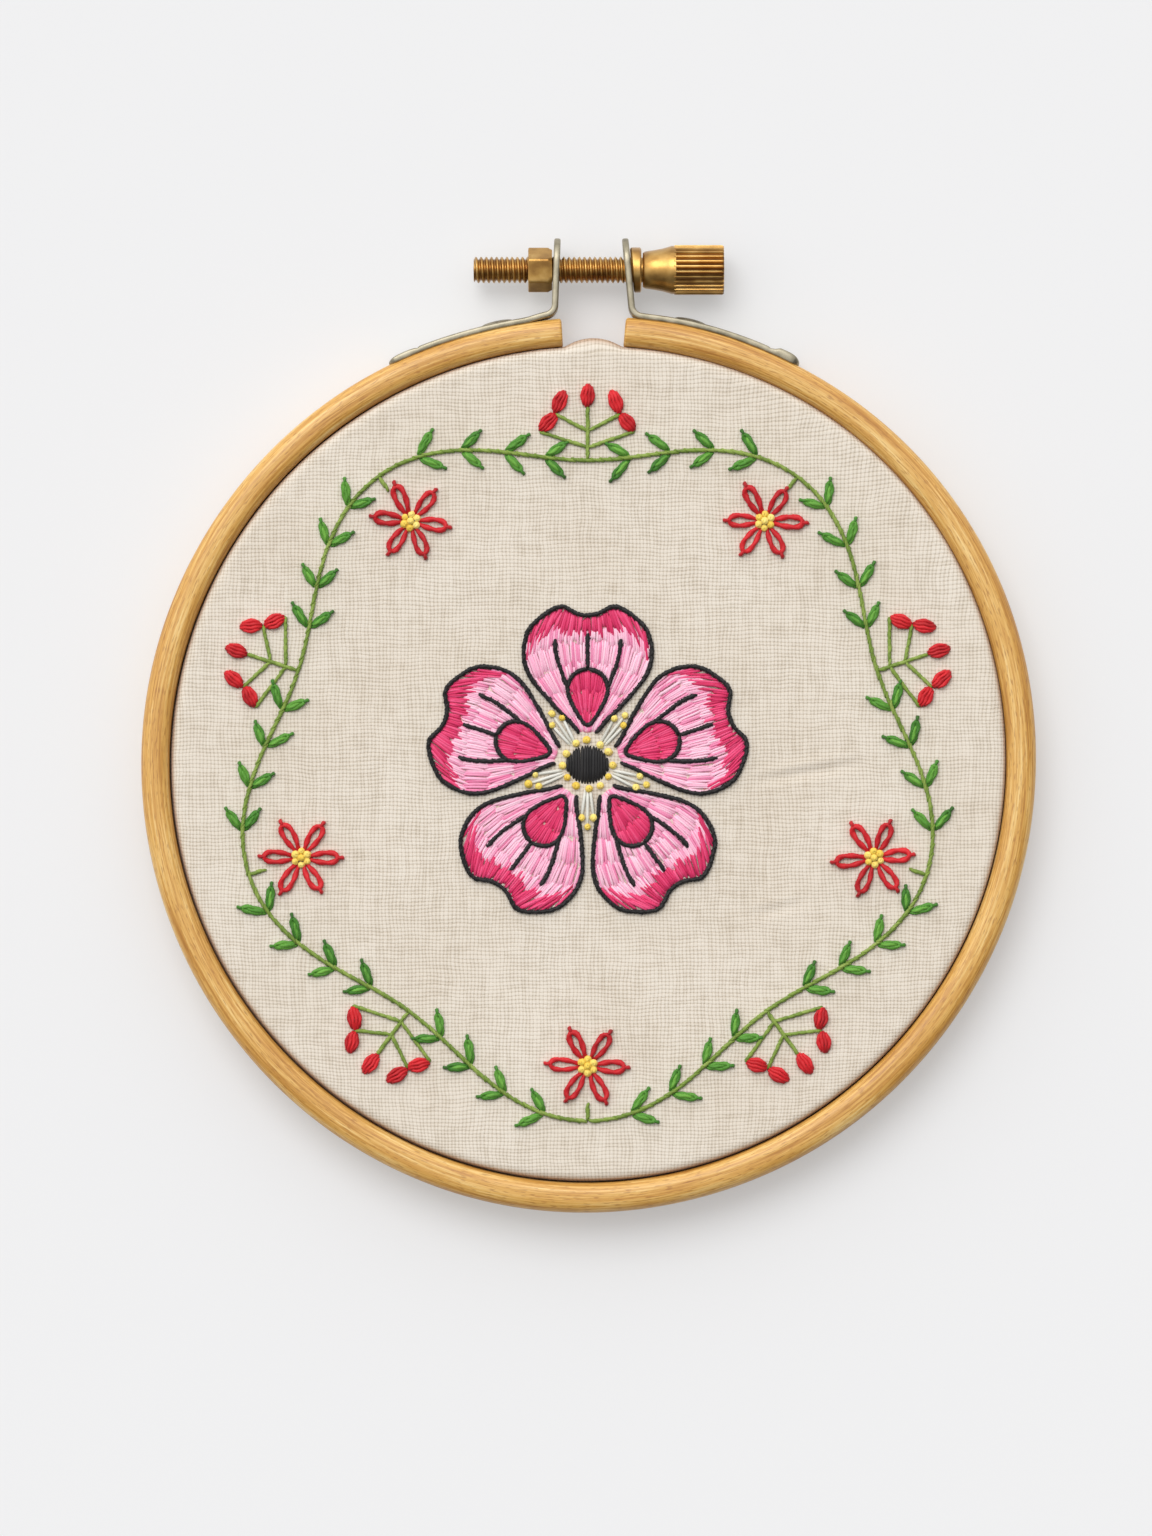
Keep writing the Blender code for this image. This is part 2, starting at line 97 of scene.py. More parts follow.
# %% Camera over the hoop
PHOTO_WIDTH, PHOTO_HEIGHT = 1152, 1536
HOOP_PIXEL_X, HOOP_PIXEL_Y = 587.7, 764.8
HOOP_PIXEL_RADIUS = 446.5
CAMERA_DISTANCE = 1.6
SENSOR = 36.0
WIDEST_HEIGHT = 7.5 * MM

pixel = OUTER_RADIUS / HOOP_PIXEL_RADIUS
overhead = bpy.data.cameras.new("overhead")
overhead.sensor_width = SENSOR
overhead.lens = SENSOR * CAMERA_DISTANCE / (PHOTO_HEIGHT * pixel)
camera = placed("overhead", overhead)
camera.location = (
    HOOP.x + (PHOTO_WIDTH / 2 - HOOP_PIXEL_X) * pixel,
    HOOP.y + (HOOP_PIXEL_Y - PHOTO_HEIGHT / 2) * pixel,
    WIDEST_HEIGHT + CAMERA_DISTANCE,
)
scene.camera = camera
scene.view_settings.view_transform = "Standard"
print("lens", round(overhead.lens, 1), "mm, a pixel is", round(pixel / MM, 4), "mm")

# %% [markdown]
# One class serves every material and every node tree. It adds a node, sets its own choices, and fills
# its inputs either with a plain value or with a link from another node. Its short methods stand for the
# nodes that are used most. Beside it, one helper turns a colour as an artist writes it, a six-digit
# code, into the linear numbers that the renderer counts in.

# %% Colour and node helpers
def linear(code):
    """Linear colour, with alpha, of an sRGB hex code."""
    shares = [int(code[i:i + 2], 16) / 255 for i in (1, 3, 5)]
    return (*[s / 12.92 if s <= 0.04045 else ((s + 0.055) / 1.055) ** 2.4 for s in shares], 1.0)


class Nodes:
    """A node tree with short ways to add to it. Inputs take values, or the nodes and sockets that feed them."""

    def __init__(self, tree):
        self.tree = tree

    def feed(self, node, inputs):
        """Fill the inputs of a node."""
        for name, value in inputs.items():
            if isinstance(value, bpy.types.Node):
                value = value.outputs[0]
            if isinstance(value, bpy.types.NodeSocket):
                self.tree.links.new(value, node.inputs[name])
            else:
                node.inputs[name].default_value = value
        return node

    def add(self, kind, inputs=None, **settings):
        """A new node with its own choices set and its inputs filled."""
        node = self.tree.nodes.new(kind)
        for name, value in settings.items():
            setattr(node, name, value)
        return self.feed(node, inputs or {})

    def math(self, operation, *values):
        """A sum of numbers."""
        return self.add("ShaderNodeMath", dict(enumerate(values)), operation=operation)

    def vector(self, operation, *values):
        """A sum of vectors."""
        return self.add("ShaderNodeVectorMath", dict(enumerate(values)), operation=operation)

    def mapped(self, value, low, high, start=0.0, end=1.0, how="LINEAR"):
        """A value carried from the range low to high to the range start to end."""
        limits = {"From Min": low, "From Max": high, "To Min": start, "To Max": end}
        return self.add("ShaderNodeMapRange", {"Value": value, **limits}, interpolation_type=how)

    def noise(self, place, scale, detail, roughness=0.5):
        """Noise, its scale in waves for each unit of the place."""
        return self.add("ShaderNodeTexNoise", {"Vector": place, "Scale": scale, "Detail": detail,
                                               "Roughness": roughness})

    def blend(self, share, colour, code, how="MIX"):
        """A colour with a share of another one over it."""
        inputs = {0: share, 6: colour, 7: linear(code)}
        return self.add("ShaderNodeMix", inputs, data_type="RGBA", blend_type=how).outputs[2]

    def ramp(self, factor, *stops):
        """A colour ramp from (place, hex code) stops."""
        ramp = self.add("ShaderNodeValToRGB", {"Fac": factor})
        while len(ramp.color_ramp.elements) < len(stops):
            ramp.color_ramp.elements.new(0.5)
        for element, (place, code) in zip(ramp.color_ramp.elements, stops):
            element.position = place
            element.color = linear(code)
        return ramp

    def bump(self, strength, deep, height):
        """Small relief in the shading, its depth in mm."""
        return self.add("ShaderNodeBump", {"Strength": strength, "Distance": deep * MM, "Height": height})

    def attribute(self, label):
        """A number that the points carry."""
        return self.add("GeometryNodeInputNamedAttribute", {"Name": label}, data_type="FLOAT")


def new_material(name):
    """A material, its nodes and its Principled shader."""
    material = bpy.data.materials.new(name)
    material.use_nodes = True
    return material, Nodes(material.node_tree), material.node_tree.nodes["Principled BSDF"]


print("a mid grey in linear light:", round(linear("#808080")[0], 3))

# %% [markdown]
# The light is a large soft source high above the top of the picture, a little to the left, so that a
# short soft shadow falls downwards. A sun lamp with a wide angle gives that, and lights a big floor
# evenly. The room is bright on the window side and dim on the other: the brass needs that dark side to
# look like metal. The floor is plain pale card on a light table. Over a third of its light comes through
# it from below, which is why small parts throw so faint a shadow.

# %% Light and floor
WINDOW_SIDE = Vector((-0.3, 0.9, 0.3)).normalized()
ROOM_DIM, ROOM_BRIGHT = 0.14, 1.35
SUN_DIRECTION = Vector((-0.25, 0.6, 1.0)).normalized()
SUN_ANGLE = radians(38.0)
SUN_STRENGTH = 1.3
FLOOR_SIZE = 6.0
FLOOR_GLOW = 0.33

room = bpy.data.worlds.new("pale_room")
room.use_nodes = True
sky = Nodes(room.node_tree)
facing = sky.vector("DOT_PRODUCT", sky.add("ShaderNodeTexCoord"), WINDOW_SIDE)
glow = sky.mapped(facing.outputs["Value"], -0.45, 0.85, ROOM_DIM, ROOM_BRIGHT, "SMOOTHSTEP")
sky.feed(room.node_tree.nodes["Background"], {"Strength": glow, "Color": WHITE})
scene.world = room

window = bpy.data.lights.new("window", "SUN")
window.angle = SUN_ANGLE
window.energy = SUN_STRENGTH
lamp = placed("window", window)
lamp.location = HOOP + SUN_DIRECTION
lamp.rotation_euler = SUN_DIRECTION.to_track_quat("Z", "Y").to_euler()

card, card_nodes, card_shader = new_material("pale_card")
card_nodes.feed(card_shader, {
    "Base Color": linear("#BABABB"), "Emission Color": WHITE, "Emission Strength": FLOOR_GLOW,
    "Roughness": 0.95, "Specular IOR Level": 0.1,
})
floor_mesh = bpy.data.meshes.new("floor")
half = FLOOR_SIZE / 2
floor_corners = [(x * half, y * half, 0) for x, y in ((-1, -1), (1, -1), (1, 1), (-1, 1))]
floor_mesh.from_pydata(floor_corners, [], [(0, 1, 2, 3)])
floor_mesh.materials.append(card)
floor = placed("floor", floor_mesh)
print("window light comes down at", round(degrees(SUN_DIRECTION.angle(Vector((0, 0, 1))))), "degrees")

# %% [markdown]
# Small helpers turn raw shapes into finished pieces. A piece's object stays at the origin with its
# place in its mesh. Settling a piece puts it on the body that carries it and hides the plain node
# that it stands for.

# %% Piece helpers
def piece_from(name, mesh, *materials, sharp=35.0):
    """An object from a mesh, shaded smooth up to a sharp angle in degrees."""
    mesh.name = name
    mesh.materials.clear()
    for material in materials:
        mesh.materials.append(material)
    mesh.shade_smooth()
    mesh.set_sharp_from_angle(angle=radians(sharp))
    return placed(name, mesh)


def settle(piece, body, slot, *nodes):
    """Put a piece on its body and hide the plain nodes that it replaces; the slot, its finish, is not used."""
    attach(piece, body)
    if nodes:
        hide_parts(*nodes)
    faces = sum(len(face.vertices) - 2 for face in piece.data.polygons)
    print(piece.name, faces, "triangles, rides", body)
    return piece


def plain_mesh(carrier):
    """The evaluated mesh of an object with its modifiers; the object itself is removed."""
    bpy.context.view_layer.update()
    mesh = bpy.data.meshes.new_from_object(carrier.evaluated_get(bpy.context.evaluated_depsgraph_get()))
    bpy.data.objects.remove(carrier, do_unlink=True)
    return mesh


def tidy_mesh(mesh, weld=0.001 * MM):
    """Weld a closed mesh and turn its faces outwards."""
    work = bmesh.new()
    work.from_mesh(mesh)
    bmesh.ops.remove_doubles(work, verts=work.verts, dist=weld)
    bmesh.ops.recalc_face_normals(work, faces=work.faces)
    work.to_mesh(mesh)
    work.free()
    return mesh


def mesh_of(work, name, outwards=True):
    """A finished bmesh as a mesh, its faces turned outwards."""
    if outwards:
        bmesh.ops.recalc_face_normals(work, faces=work.faces)
    mesh = bpy.data.meshes.new(name)
    work.to_mesh(mesh)
    work.free()
    return mesh


def mark_points(mesh, label, numbers):
    """Give each point of a mesh a number of its own."""
    mesh.attributes.new(label, "FLOAT", "POINT").data.foreach_set("value", numbers)


def clamped(share):
    """A share kept between none and all."""
    return min(1.0, max(0.0, share))


def crosswise(way):
    """The direction a quarter turn to the left."""
    return Vector((-way.y, way.x))


def flat_polar(radius, angle):
    """A point on the cloth's plane, counted from the hoop's middle."""
    return Vector((radius * cos(angle), radius * sin(angle)))


def arc(centre, radius, start, end, steps):
    """Points of an arc, both ends included."""
    return [centre + flat_polar(radius, start + (end - start) * i / steps) for i in range(steps + 1)]


print("helpers ready")

# %% [markdown]
# The hoops are bentwood. A beech strip is steamed, bent round a drum, sanded and left nearly bare, so
# its grain runs round the ring as long streaks, with the short darker flecks that beech is known by.
# The pattern follows the strip's own UV map, which counts millimetres along and round the strip.
# The front's inner rounding is painted darker, as painted shade where the wood turns down towards the groove.

# %% Beech, along the grain
def beech(name, edge_shade):
    """Steamed, sanded and waxed beech: satin, streaked along the strip, with fine darker flecks and painted
    shade on the front's inner rounding.
    """
    material, tree, shader = new_material(name)
    strip = tree.add("ShaderNodeTexCoord").outputs["UV"]
    fine = tree.noise(tree.vector("MULTIPLY", strip, (0.08, 3.0, 1.0)), 1.0, 5.0, 0.62)
    broad = tree.noise(tree.vector("MULTIPLY", strip, (0.028, 0.55, 1.0)), 1.0, 3.0)
    fleck = tree.noise(tree.vector("MULTIPLY", strip, (0.6, 5.5, 1.0)), 1.0, 1.0, 0.4)
    streaks = tree.add("ShaderNodeMix", {"Factor": 0.38, 2: fine, 3: broad})
    wood = tree.ramp(streaks, (0.36, "#AC7327"), (0.45, "#C68F3E"), (0.53, "#D9A856"), (0.63, "#EAC680"))
    flecked = tree.blend(tree.mapped(fleck, 0.57, 0.68, 0.0, 0.6), wood, "#9C6326")
    across = tree.add("ShaderNodeSeparateXYZ", {0: strip}).outputs["Y"]
    # Painted shade: the front's inner rounding is darkened, most where it meets the inner face.
    painted_edge_shade = tree.mapped(across, 0.1, 1.9, edge_shade, 0.0, "SMOOTHSTEP")
    tree.feed(shader, {
        "Base Color": tree.blend(painted_edge_shade, flecked, "#8A5524", "MULTIPLY"),
        "Roughness": tree.mapped(fine, 0.0, 1.0, 0.36, 0.52),
        "Specular IOR Level": 0.6, "Coat Weight": 0.15, "Coat Roughness": 0.3,
        "Normal": tree.bump(0.8, 0.06, fine),
    })
    return material


def beech_end():
    """The sawn end of the strip: darker, matt, with pores as dots and rays as short lines."""
    material, tree, shader = new_material("beech_end_grain")
    place = tree.add("ShaderNodeTexCoord").outputs["Object"]
    pores = tree.noise(place, 1 / (0.35 * MM), 3.0)
    rays = tree.noise(tree.vector("MULTIPLY", place, (0.2, 1.0, 0.15)), 1 / (0.8 * MM), 2.0)
    mixed = tree.add("ShaderNodeMix", {"Factor": 0.45, 2: pores, 3: rays})
    tree.feed(shader, {
        "Base Color": tree.ramp(mixed, (0.35, "#A97643"), (0.5, "#CFA069"), (0.65, "#E3BC87")),
        "Roughness": 0.7, "Normal": tree.bump(0.4, 0.06, mixed),
    })
    return material


outer_beech = beech("steamed_beech_outer", 0.1)
inner_beech = beech("steamed_beech_inner", 0.15)
end_beech = beech_end()
print("beech:", [material.name for material in (outer_beech, inner_beech, end_beech)])

# %% [markdown]
# Each hoop is one section swept round the centre. A hand-made ring is never quite even, so the sweep
# adds a slow wave of a few hundredths of a millimetre. The outer hoop also bulges by up to 0.85 mm, most
# towards the upper right and again beside its gap, and the inner hoop presses it there from inside. Two
# lists of lobes say by how much. At the sawn ends the section draws in over the last half millimetre, as
# a touch of sandpaper leaves it.

# %% Sweep a wooden strip round the centre
SECTION_STEPS = 8
WAVE, WAVES_ROUND = 0.06 * MM, 2.5
EASED_STEPS = 5
PRESSED_TOWARDS = radians(48.0)
BULGES = [  # by how much, towards, how narrow
    (0.85 * MM, radians(41.0), 4), (0.27 * MM, radians(252.0), 6),
    (0.25 * MM, radians(77.0), 60), (-0.15 * MM, radians(103.0), 60),
]
PRESSES = [(0.78 * MM, PRESSED_TOWARDS, 6), (-0.3 * MM, radians(312.0), 6)]


def out_of_round(angle, lobes):
    """How far a face stands out of a true circle at this angle."""
    return sum(by * max(0.0, cos(angle - towards)) ** narrow for by, towards, narrow in lobes)


def strip_section(inside, outside, low, high, roundings):
    """Closed section as (radius, height) points, from the front inner corner over the front and outwards.

    Roundings are given for the front inner, front outer, back outer and back inner corner.
    """
    front_in, front_out, back_out, back_in = roundings
    corners = [
        (inside + front_in, high - front_in, front_in, pi),
        (outside - front_out, high - front_out, front_out, pi / 2),
        (outside - back_out, low + back_out, back_out, 0.0),
        (inside + back_in, low + back_in, back_in, -pi / 2),
    ]
    section = []
    for radius, height, rounding, start in corners:
        section += arc(Vector((radius, height)), rounding, start, start - pi / 2, SECTION_STEPS)
    return section


def bent_strip(name, section, start, sweep, stations, ease, inner_lobes, outer_lobes):
    """Sweep a section round the hoop's centre; an open strip gets eased ends in a second material.

    Its inner and outer faces each stand out of round by their own lobes.
    """
    closed = ease == 0.0
    marks = [0.0]
    for here, there in zip(section, section[1:] + section[:1]):
        marks.append(marks[-1] + (there - here).length)
    middle = sum(section, Vector((0.0, 0.0))) / len(section)
    half = Vector((max(abs(point[axis] - middle[axis]) for point in section) for axis in (0, 1)))
    inside = min(point.x for point in section)
    outside = max(point.x for point in section)
    reach = abs(sweep) * OUTER_RADIUS
    turns = [(sweep * i / stations, 0.0) for i in range(stations if closed else stations + 1)]
    if not closed:
        eased = [i / EASED_STEPS for i in range(EASED_STEPS)]
        lead = [(share * ease, ease * (1 - sqrt(1 - (1 - share) ** 2))) for share in eased]
        turns = [(sweep * step / reach, inset) for step, inset in lead]
        turns += [(sweep * (ease / reach + (1 - 2 * ease / reach) * i / stations), 0.0)
                  for i in range(stations + 1)]
        turns += [(sweep * (1 - step / reach), inset) for step, inset in reversed(lead)]
    work = bmesh.new()
    uv = work.loops.layers.uv.new("strip")
    rings = []
    for turn, inset in turns:
        angle = start + turn
        shrink = Vector((1 - inset / half.x, 1 - inset / half.y))
        wave = WAVE * noise.noise(Vector((WAVES_ROUND * cos(angle), WAVES_ROUND * sin(angle), 0.3)))
        inner_by = out_of_round(angle, inner_lobes)
        outer_by = out_of_round(angle, outer_lobes)
        ring = []
        for point in section:
            radius, height = middle + (point - middle) * shrink
            share = (radius - inside) / (outside - inside)
            radius += wave + inner_by + (outer_by - inner_by) * share
            ring.append(work.verts.new((HOOP.x + radius * cos(angle), HOOP.y + radius * sin(angle), height)))
        rings.append(ring)
    count = len(section)
    for i in range(len(rings) if closed else len(rings) - 1):
        near, far = rings[i], rings[(i + 1) % len(rings)]
        turn_near = turns[i][0]
        turn_far = turns[i + 1][0] if i + 1 < len(turns) else sweep
        for j in range(count):
            k = (j + 1) % count
            face = work.faces.new((near[j], far[j], far[k], near[k]))
            places = ((turn_near, j), (turn_far, j), (turn_far, j + 1), (turn_near, j + 1))
            for loop, (turn, mark) in zip(face.loops, places):
                loop[uv].uv = (turn * OUTER_RADIUS / MM, marks[mark] / MM)
    if not closed:
        for ring in (rings[0], rings[-1]):
            work.faces.new(ring).material_index = 1
    return mesh_of(work, name)


# %% Outer hoop
OUTER_INSIDE = 64.62 * MM
OUTER_STATIONS = 420
END_EASE = 0.45 * MM

outer_section = strip_section(OUTER_INSIDE, OUTER_RADIUS, 0.0, OUTER_HEIGHT,
                              (1.7 * MM, 1.9 * MM, 0.9 * MM, 0.4 * MM))
outer_mesh = bent_strip("bentwood_outer_hoop", outer_section, GAP_ANGLE + GAP_HALF_ANGLE,
                        2 * (pi - GAP_HALF_ANGLE), OUTER_STATIONS, END_EASE, PRESSES, BULGES)
outer_ring = piece_from("bentwood_outer_hoop", outer_mesh, outer_beech, end_beech)
settle(outer_ring, "hoop", "outer_wood", "outer_hoop")

# %% Inner hoop
INNER_INSIDE = 59.0 * MM
INNER_RADIUS = 63.6 * MM
INNER_HEIGHT = 8.45 * MM
INNER_STATIONS = 320
LAP_ANGLE = radians(-62.0)

inner_section = strip_section(INNER_INSIDE, INNER_RADIUS, 0.0, INNER_HEIGHT,
                              (0.5 * MM, 0.9 * MM, 0.5 * MM, 0.5 * MM))
inner_mesh = bent_strip("bentwood_inner_hoop", inner_section, LAP_ANGLE, 2 * pi, INNER_STATIONS, 0.0,
                        [], PRESSES)
inner_ring = piece_from("bentwood_inner_hoop", inner_mesh, inner_beech)
settle(inner_ring, "hoop", "inner_wood", "inner_hoop")

# %% [markdown]
# The cloth is plain-woven cotton, undyed, about seventeen threads to the centimetre. Each thread goes
# over one and under the next, and the small square gaps between threads look darker. The pattern is
# worked out from the thread spacing alone. Threads wander a little and differ in thickness.
# It reads the cloth's own UV map, which is the cloth laid flat, so the weave turns down over the edge.
# Where the cloth turns down over the hoop's edge it is painted brown, as painted shade of the groove and
# painted reflected light of the wood.

# %% Plain-woven cotton
WARP_PITCH, WEFT_PITCH = 0.565, 0.587
# Where on the flat cloth the painted brown of the groove's shade and the wood's reflected light starts and
# ends, in mm.
GROOVE_TINT_FROM_TO = 63.9, 64.9


def woven_cotton():
    """Undyed plain weave: matt, cream threads with beige gaps, painted brown at its turn as painted shade and
    reflected light of the wood.
    """
    material, tree, shader = new_material("plain_woven_cotton")
    flat = tree.add("ShaderNodeTexCoord").outputs["UV"]
    centred = tree.vector("SUBTRACT", tree.noise(flat, 0.11, 2.0).outputs["Color"], (0.5, 0.5, 0.5))
    wandering = tree.vector("MULTIPLY_ADD", centred, (1.3, 1.3, 0.0), flat)
    place = tree.add("ShaderNodeSeparateXYZ", {0: wandering})
    counts, within, cover, tone = {}, {}, {}, {}
    for thread, pitch, axis, length in (("warp", WARP_PITCH, "X", "Y"), ("weft", WEFT_PITCH, "Y", "X")):
        number = tree.math("DIVIDE", place.outputs[axis], pitch)
        counts[thread] = tree.math("FLOOR", number)
        within[thread] = tree.math("FRACT", number)
        run = tree.math("MULTIPLY", place.outputs[length], 0.16)
        spread = tree.math("MULTIPLY", counts[thread], 3.7)
        line = tree.add("ShaderNodeCombineXYZ", {0: spread, 1: run, 2: 11.0 if axis == "X" else 47.0})
        tone[thread] = tree.noise(line, 1.0, 2.0)
        aside = tree.math("ABSOLUTE", tree.math("MULTIPLY_ADD", within[thread], 2.0, -1.0))
        thin = tree.mapped(tone[thread], 0.3, 0.7, 0.3, 0.66)
        cover[thread] = tree.mapped(aside, thin, tree.math("ADD", thin, 0.34), 1.0, 0.0, "SMOOTHSTEP")
    both = tree.math("ADD", counts["warp"], counts["weft"])
    sign = tree.math("MULTIPLY_ADD", tree.math("FLOORED_MODULO", both, 2.0), 2.0, -1.0)
    surfaces = []
    for thread, other, turn in (("warp", "weft", 0.5), ("weft", "warp", -0.5)):
        crown = tree.math("SINE", tree.math("MULTIPLY", within[other], pi))
        height = tree.math("MULTIPLY_ADD", tree.math("MULTIPLY", crown, sign), 0.6 * turn, 0.7)
        surfaces.append(tree.math("MULTIPLY", height, cover[thread]))
    relief = tree.math("MAXIMUM", *surfaces)
    covered = tree.math("ADD", cover["warp"], cover["weft"])
    crossed = tree.math("MULTIPLY_ADD", relief, 0.3, covered)
    mean_tone = tree.math("ADD", tone["warp"], tone["weft"])
    lightness = tree.math("DIVIDE", tree.math("MULTIPLY_ADD", mean_tone, 1.1, crossed), 3.4)
    colour = tree.ramp(lightness, (0.2, "#B9AC9A"), (0.5, "#CDC1B0"), (0.75, "#DACFC0"), (1.0, "#E5DCCF"))
    shade = tree.mapped(tree.noise(flat, 0.05, 3.0), 0.3, 0.7, 0.0, 0.12)
    aged = tree.blend(shade, colour, "#C8B08A", "MULTIPLY")
    from_middle = tree.vector("LENGTH", flat).outputs["Value"]
    # Painted shade and painted reflected light of the wood: the cloth's turn is tinted brown.
    painted_groove_tint = tree.mapped(from_middle, *GROOVE_TINT_FROM_TO, 0.0, 0.6, "SMOOTHSTEP")
    tree.feed(shader, {
        "Base Color": tree.blend(painted_groove_tint, aged, "#B9813F", "MULTIPLY"),
        "Roughness": 0.88, "Specular IOR Level": 0.25, "Sheen Weight": 0.15,
        "Normal": tree.bump(0.5, 0.12, relief),
    })
    return material


cotton = woven_cotton()
print("cotton:", cotton.name, "with", len(cotton.node_tree.nodes), "nodes")

# %% [markdown]
# The cloth was cut as a disc, stretched over the inner hoop and pulled down between the two rings. It
# is one thin sheet here, laid out from its flat radius: the front, a tight turn over the hoop's edge,
# then the skirt down to a slightly uneven cut edge. Where the outer hoop is open, the skirt puffs out.
# It leaves a dark groove beside the outer hoop that closes towards the side where the hoops press, and
# lower down the wood grips it all round.
# Two faint creases from folding are left in the front, as shallow troughs with a soft ridge beside them.

# %% The cloth's own form
CLOTH_FRONT = 9.0 * MM
CLOTH_SIDE = 64.52 * MM
CLOTH_NIP = 0.2 * MM
CLOTH_TURN = 1.25 * MM
GROOVE = 0.28 * MM
GRIP_DEPTH, GRIP_BITE = 2.5 * MM, 0.12 * MM
PRESS_START = 58.0 * MM
CLOTH_THICKNESS = 0.42 * MM
CLOTH_EDGE = 0.9 * MM
PUFF_RISE = 1.2 * MM
PUFF_HALF_ANGLE = radians(3.9)
UNEVEN, UNEVEN_SPACING = 0.05, 14
FRAY = 0.25 * MM
CREASES = [  # start and end in mm from the middle, depth in mm, half width in mm
    ((25.5, -2.6), (43.5, 0.4), 0.26, 0.75),
    ((24.5, -23.4), (34.0, -21.2), 0.16, 0.7),
]


def cloth_front(point):
    """Height of the cloth's front at a point counted from the hoop's middle."""
    x, y = point[0] / MM, point[1] / MM
    height = UNEVEN * noise.noise(Vector((x / UNEVEN_SPACING, y / UNEVEN_SPACING, 1.7)))
    for start, end, depth, width in CREASES:
        along = Vector(end) - Vector(start)
        offset = Vector((x, y)) - Vector(start)
        share = offset.dot(along) / along.length_squared
        side = (offset.y * along.x - offset.x * along.y) / along.length
        fade = max(0.0, 1 - (2 * share - 1) ** 2)
        height -= depth * fade * exp(-(side / width) ** 2)
        height += 0.6 * depth * fade * exp(-((side - 1.7 * width) / width) ** 2)
    return CLOTH_FRONT + height * MM


def cloth_point(flat_radius, angle, edge):
    """Place of a point of the sheet, from its flat radius and its angle."""
    turn_start = CLOTH_SIDE - CLOTH_TURN
    share = clamped((flat_radius - PRESS_START) / (turn_start - PRESS_START))
    towards = cos(angle - PRESSED_TOWARDS)
    nipped = CLOTH_NIP * max(0.0, towards) ** 4 - GROOVE * (1 - towards) / 2
    shift = share ** 2 * (out_of_round(angle, PRESSES) + nipped)
    if flat_radius <= turn_start:
        place = flat_polar(flat_radius + shift, angle)
        return Vector((place.x, place.y, cloth_front(place)))
    travelled = flat_radius - turn_start
    bend = min(travelled / CLOTH_TURN, pi / 2)
    radius = turn_start + CLOTH_TURN * sin(bend)
    height = CLOTH_FRONT - CLOTH_TURN * (1 - cos(bend))
    skirt = travelled - CLOTH_TURN * bend
    height -= min(skirt, height - edge)
    shift += clamped(skirt / GRIP_DEPTH) * (GRIP_BITE + GROOVE * (1 - towards) / 2)
    off = (angle - GAP_ANGLE) / PUFF_HALF_ANGLE
    if abs(off) < 1.0:
        radius += PUFF_RISE * (1 - off ** 2) * min(1.0, (radius - turn_start) / CLOTH_TURN)
    place = flat_polar(radius + shift, angle)
    return Vector((place.x, place.y, height))


# %% Lay the sheet over the hoop
COARSE_STEP, FINE_STEP = 1.5 * MM, 0.65 * MM
FINE_FROM = 25.0 * MM
CLOTH_STATIONS = 360

turn_start = CLOTH_SIDE - CLOTH_TURN
turn_end = turn_start + CLOTH_TURN * pi / 2
flat_radii = [COARSE_STEP * (i + 1) for i in range(int(FINE_FROM / COARSE_STEP))]
fine_count = round((turn_start - flat_radii[-1]) / FINE_STEP)
flat_radii += [flat_radii[-1] + (turn_start - flat_radii[-1]) * (i + 1) / fine_count for i in range(fine_count)]
flat_radii += [turn_start + (turn_end - turn_start) * (i + 1) / 5 for i in range(5)]
skirt_length = CLOTH_FRONT - CLOTH_TURN - CLOTH_EDGE
flat_radii += [turn_end + skirt_length * (i + 1) / 8 for i in range(8)]
angles = [2 * pi * i / CLOTH_STATIONS for i in range(CLOTH_STATIONS)]
angles += [GAP_ANGLE + PUFF_HALF_ANGLE * (i / 12 - 1) * 1.02 for i in range(25)]
angles = sorted(set(round(angle, 4) for angle in angles))

work = bmesh.new()
uv = work.loops.layers.uv.new("flat_cloth")
centre = work.verts.new(HOOP + Vector((0.0, 0.0, cloth_front((0.0, 0.0)))))
rows = []
for flat_radius in flat_radii:
    row = []
    for angle in angles:
        fray = FRAY * noise.noise(Vector((30 * cos(angle), 30 * sin(angle), 4.0)))
        row.append(work.verts.new(HOOP + cloth_point(flat_radius, angle, CLOTH_EDGE + fray)))
    rows.append(row)
count = len(angles)
for j in range(count):
    k = (j + 1) % count
    here, there = angles[j], angles[k]
    face = work.faces.new((centre, rows[0][j], rows[0][k]))
    for loop, place in zip(face.loops, ((0, here), (flat_radii[0], here), (flat_radii[0], there))):
        loop[uv].uv = flat_polar(*place) / MM
    for i in range(len(rows) - 1):
        near, far = flat_radii[i], flat_radii[i + 1]
        face = work.faces.new((rows[i][j], rows[i + 1][j], rows[i + 1][k], rows[i][k]))
        for loop, place in zip(face.loops, ((near, here), (far, here), (far, there), (near, there))):
            loop[uv].uv = flat_polar(*place) / MM
cloth = piece_from("stretched_cloth", mesh_of(work, "stretched_cloth", outwards=False), cotton, sharp=60.0)
thickness = cloth.modifiers.new("Thickness", "SOLIDIFY")
thickness.thickness = CLOTH_THICKNESS
thickness.offset = -1.0
cloth = piece_from("stretched_cloth", plain_mesh(cloth), cotton, sharp=60.0)
settle(cloth, "hoop", "cotton", "cloth")

# %% [markdown]
# Embroidery floss is six loose strands of mercerised cotton, which gives it its soft gloss. In the
# material, a number that each stitch carries, its shade, picks a tone between a dark, a middle and a
# light one, so that no two stitches are quite alike. Fine noise draws the fibres.

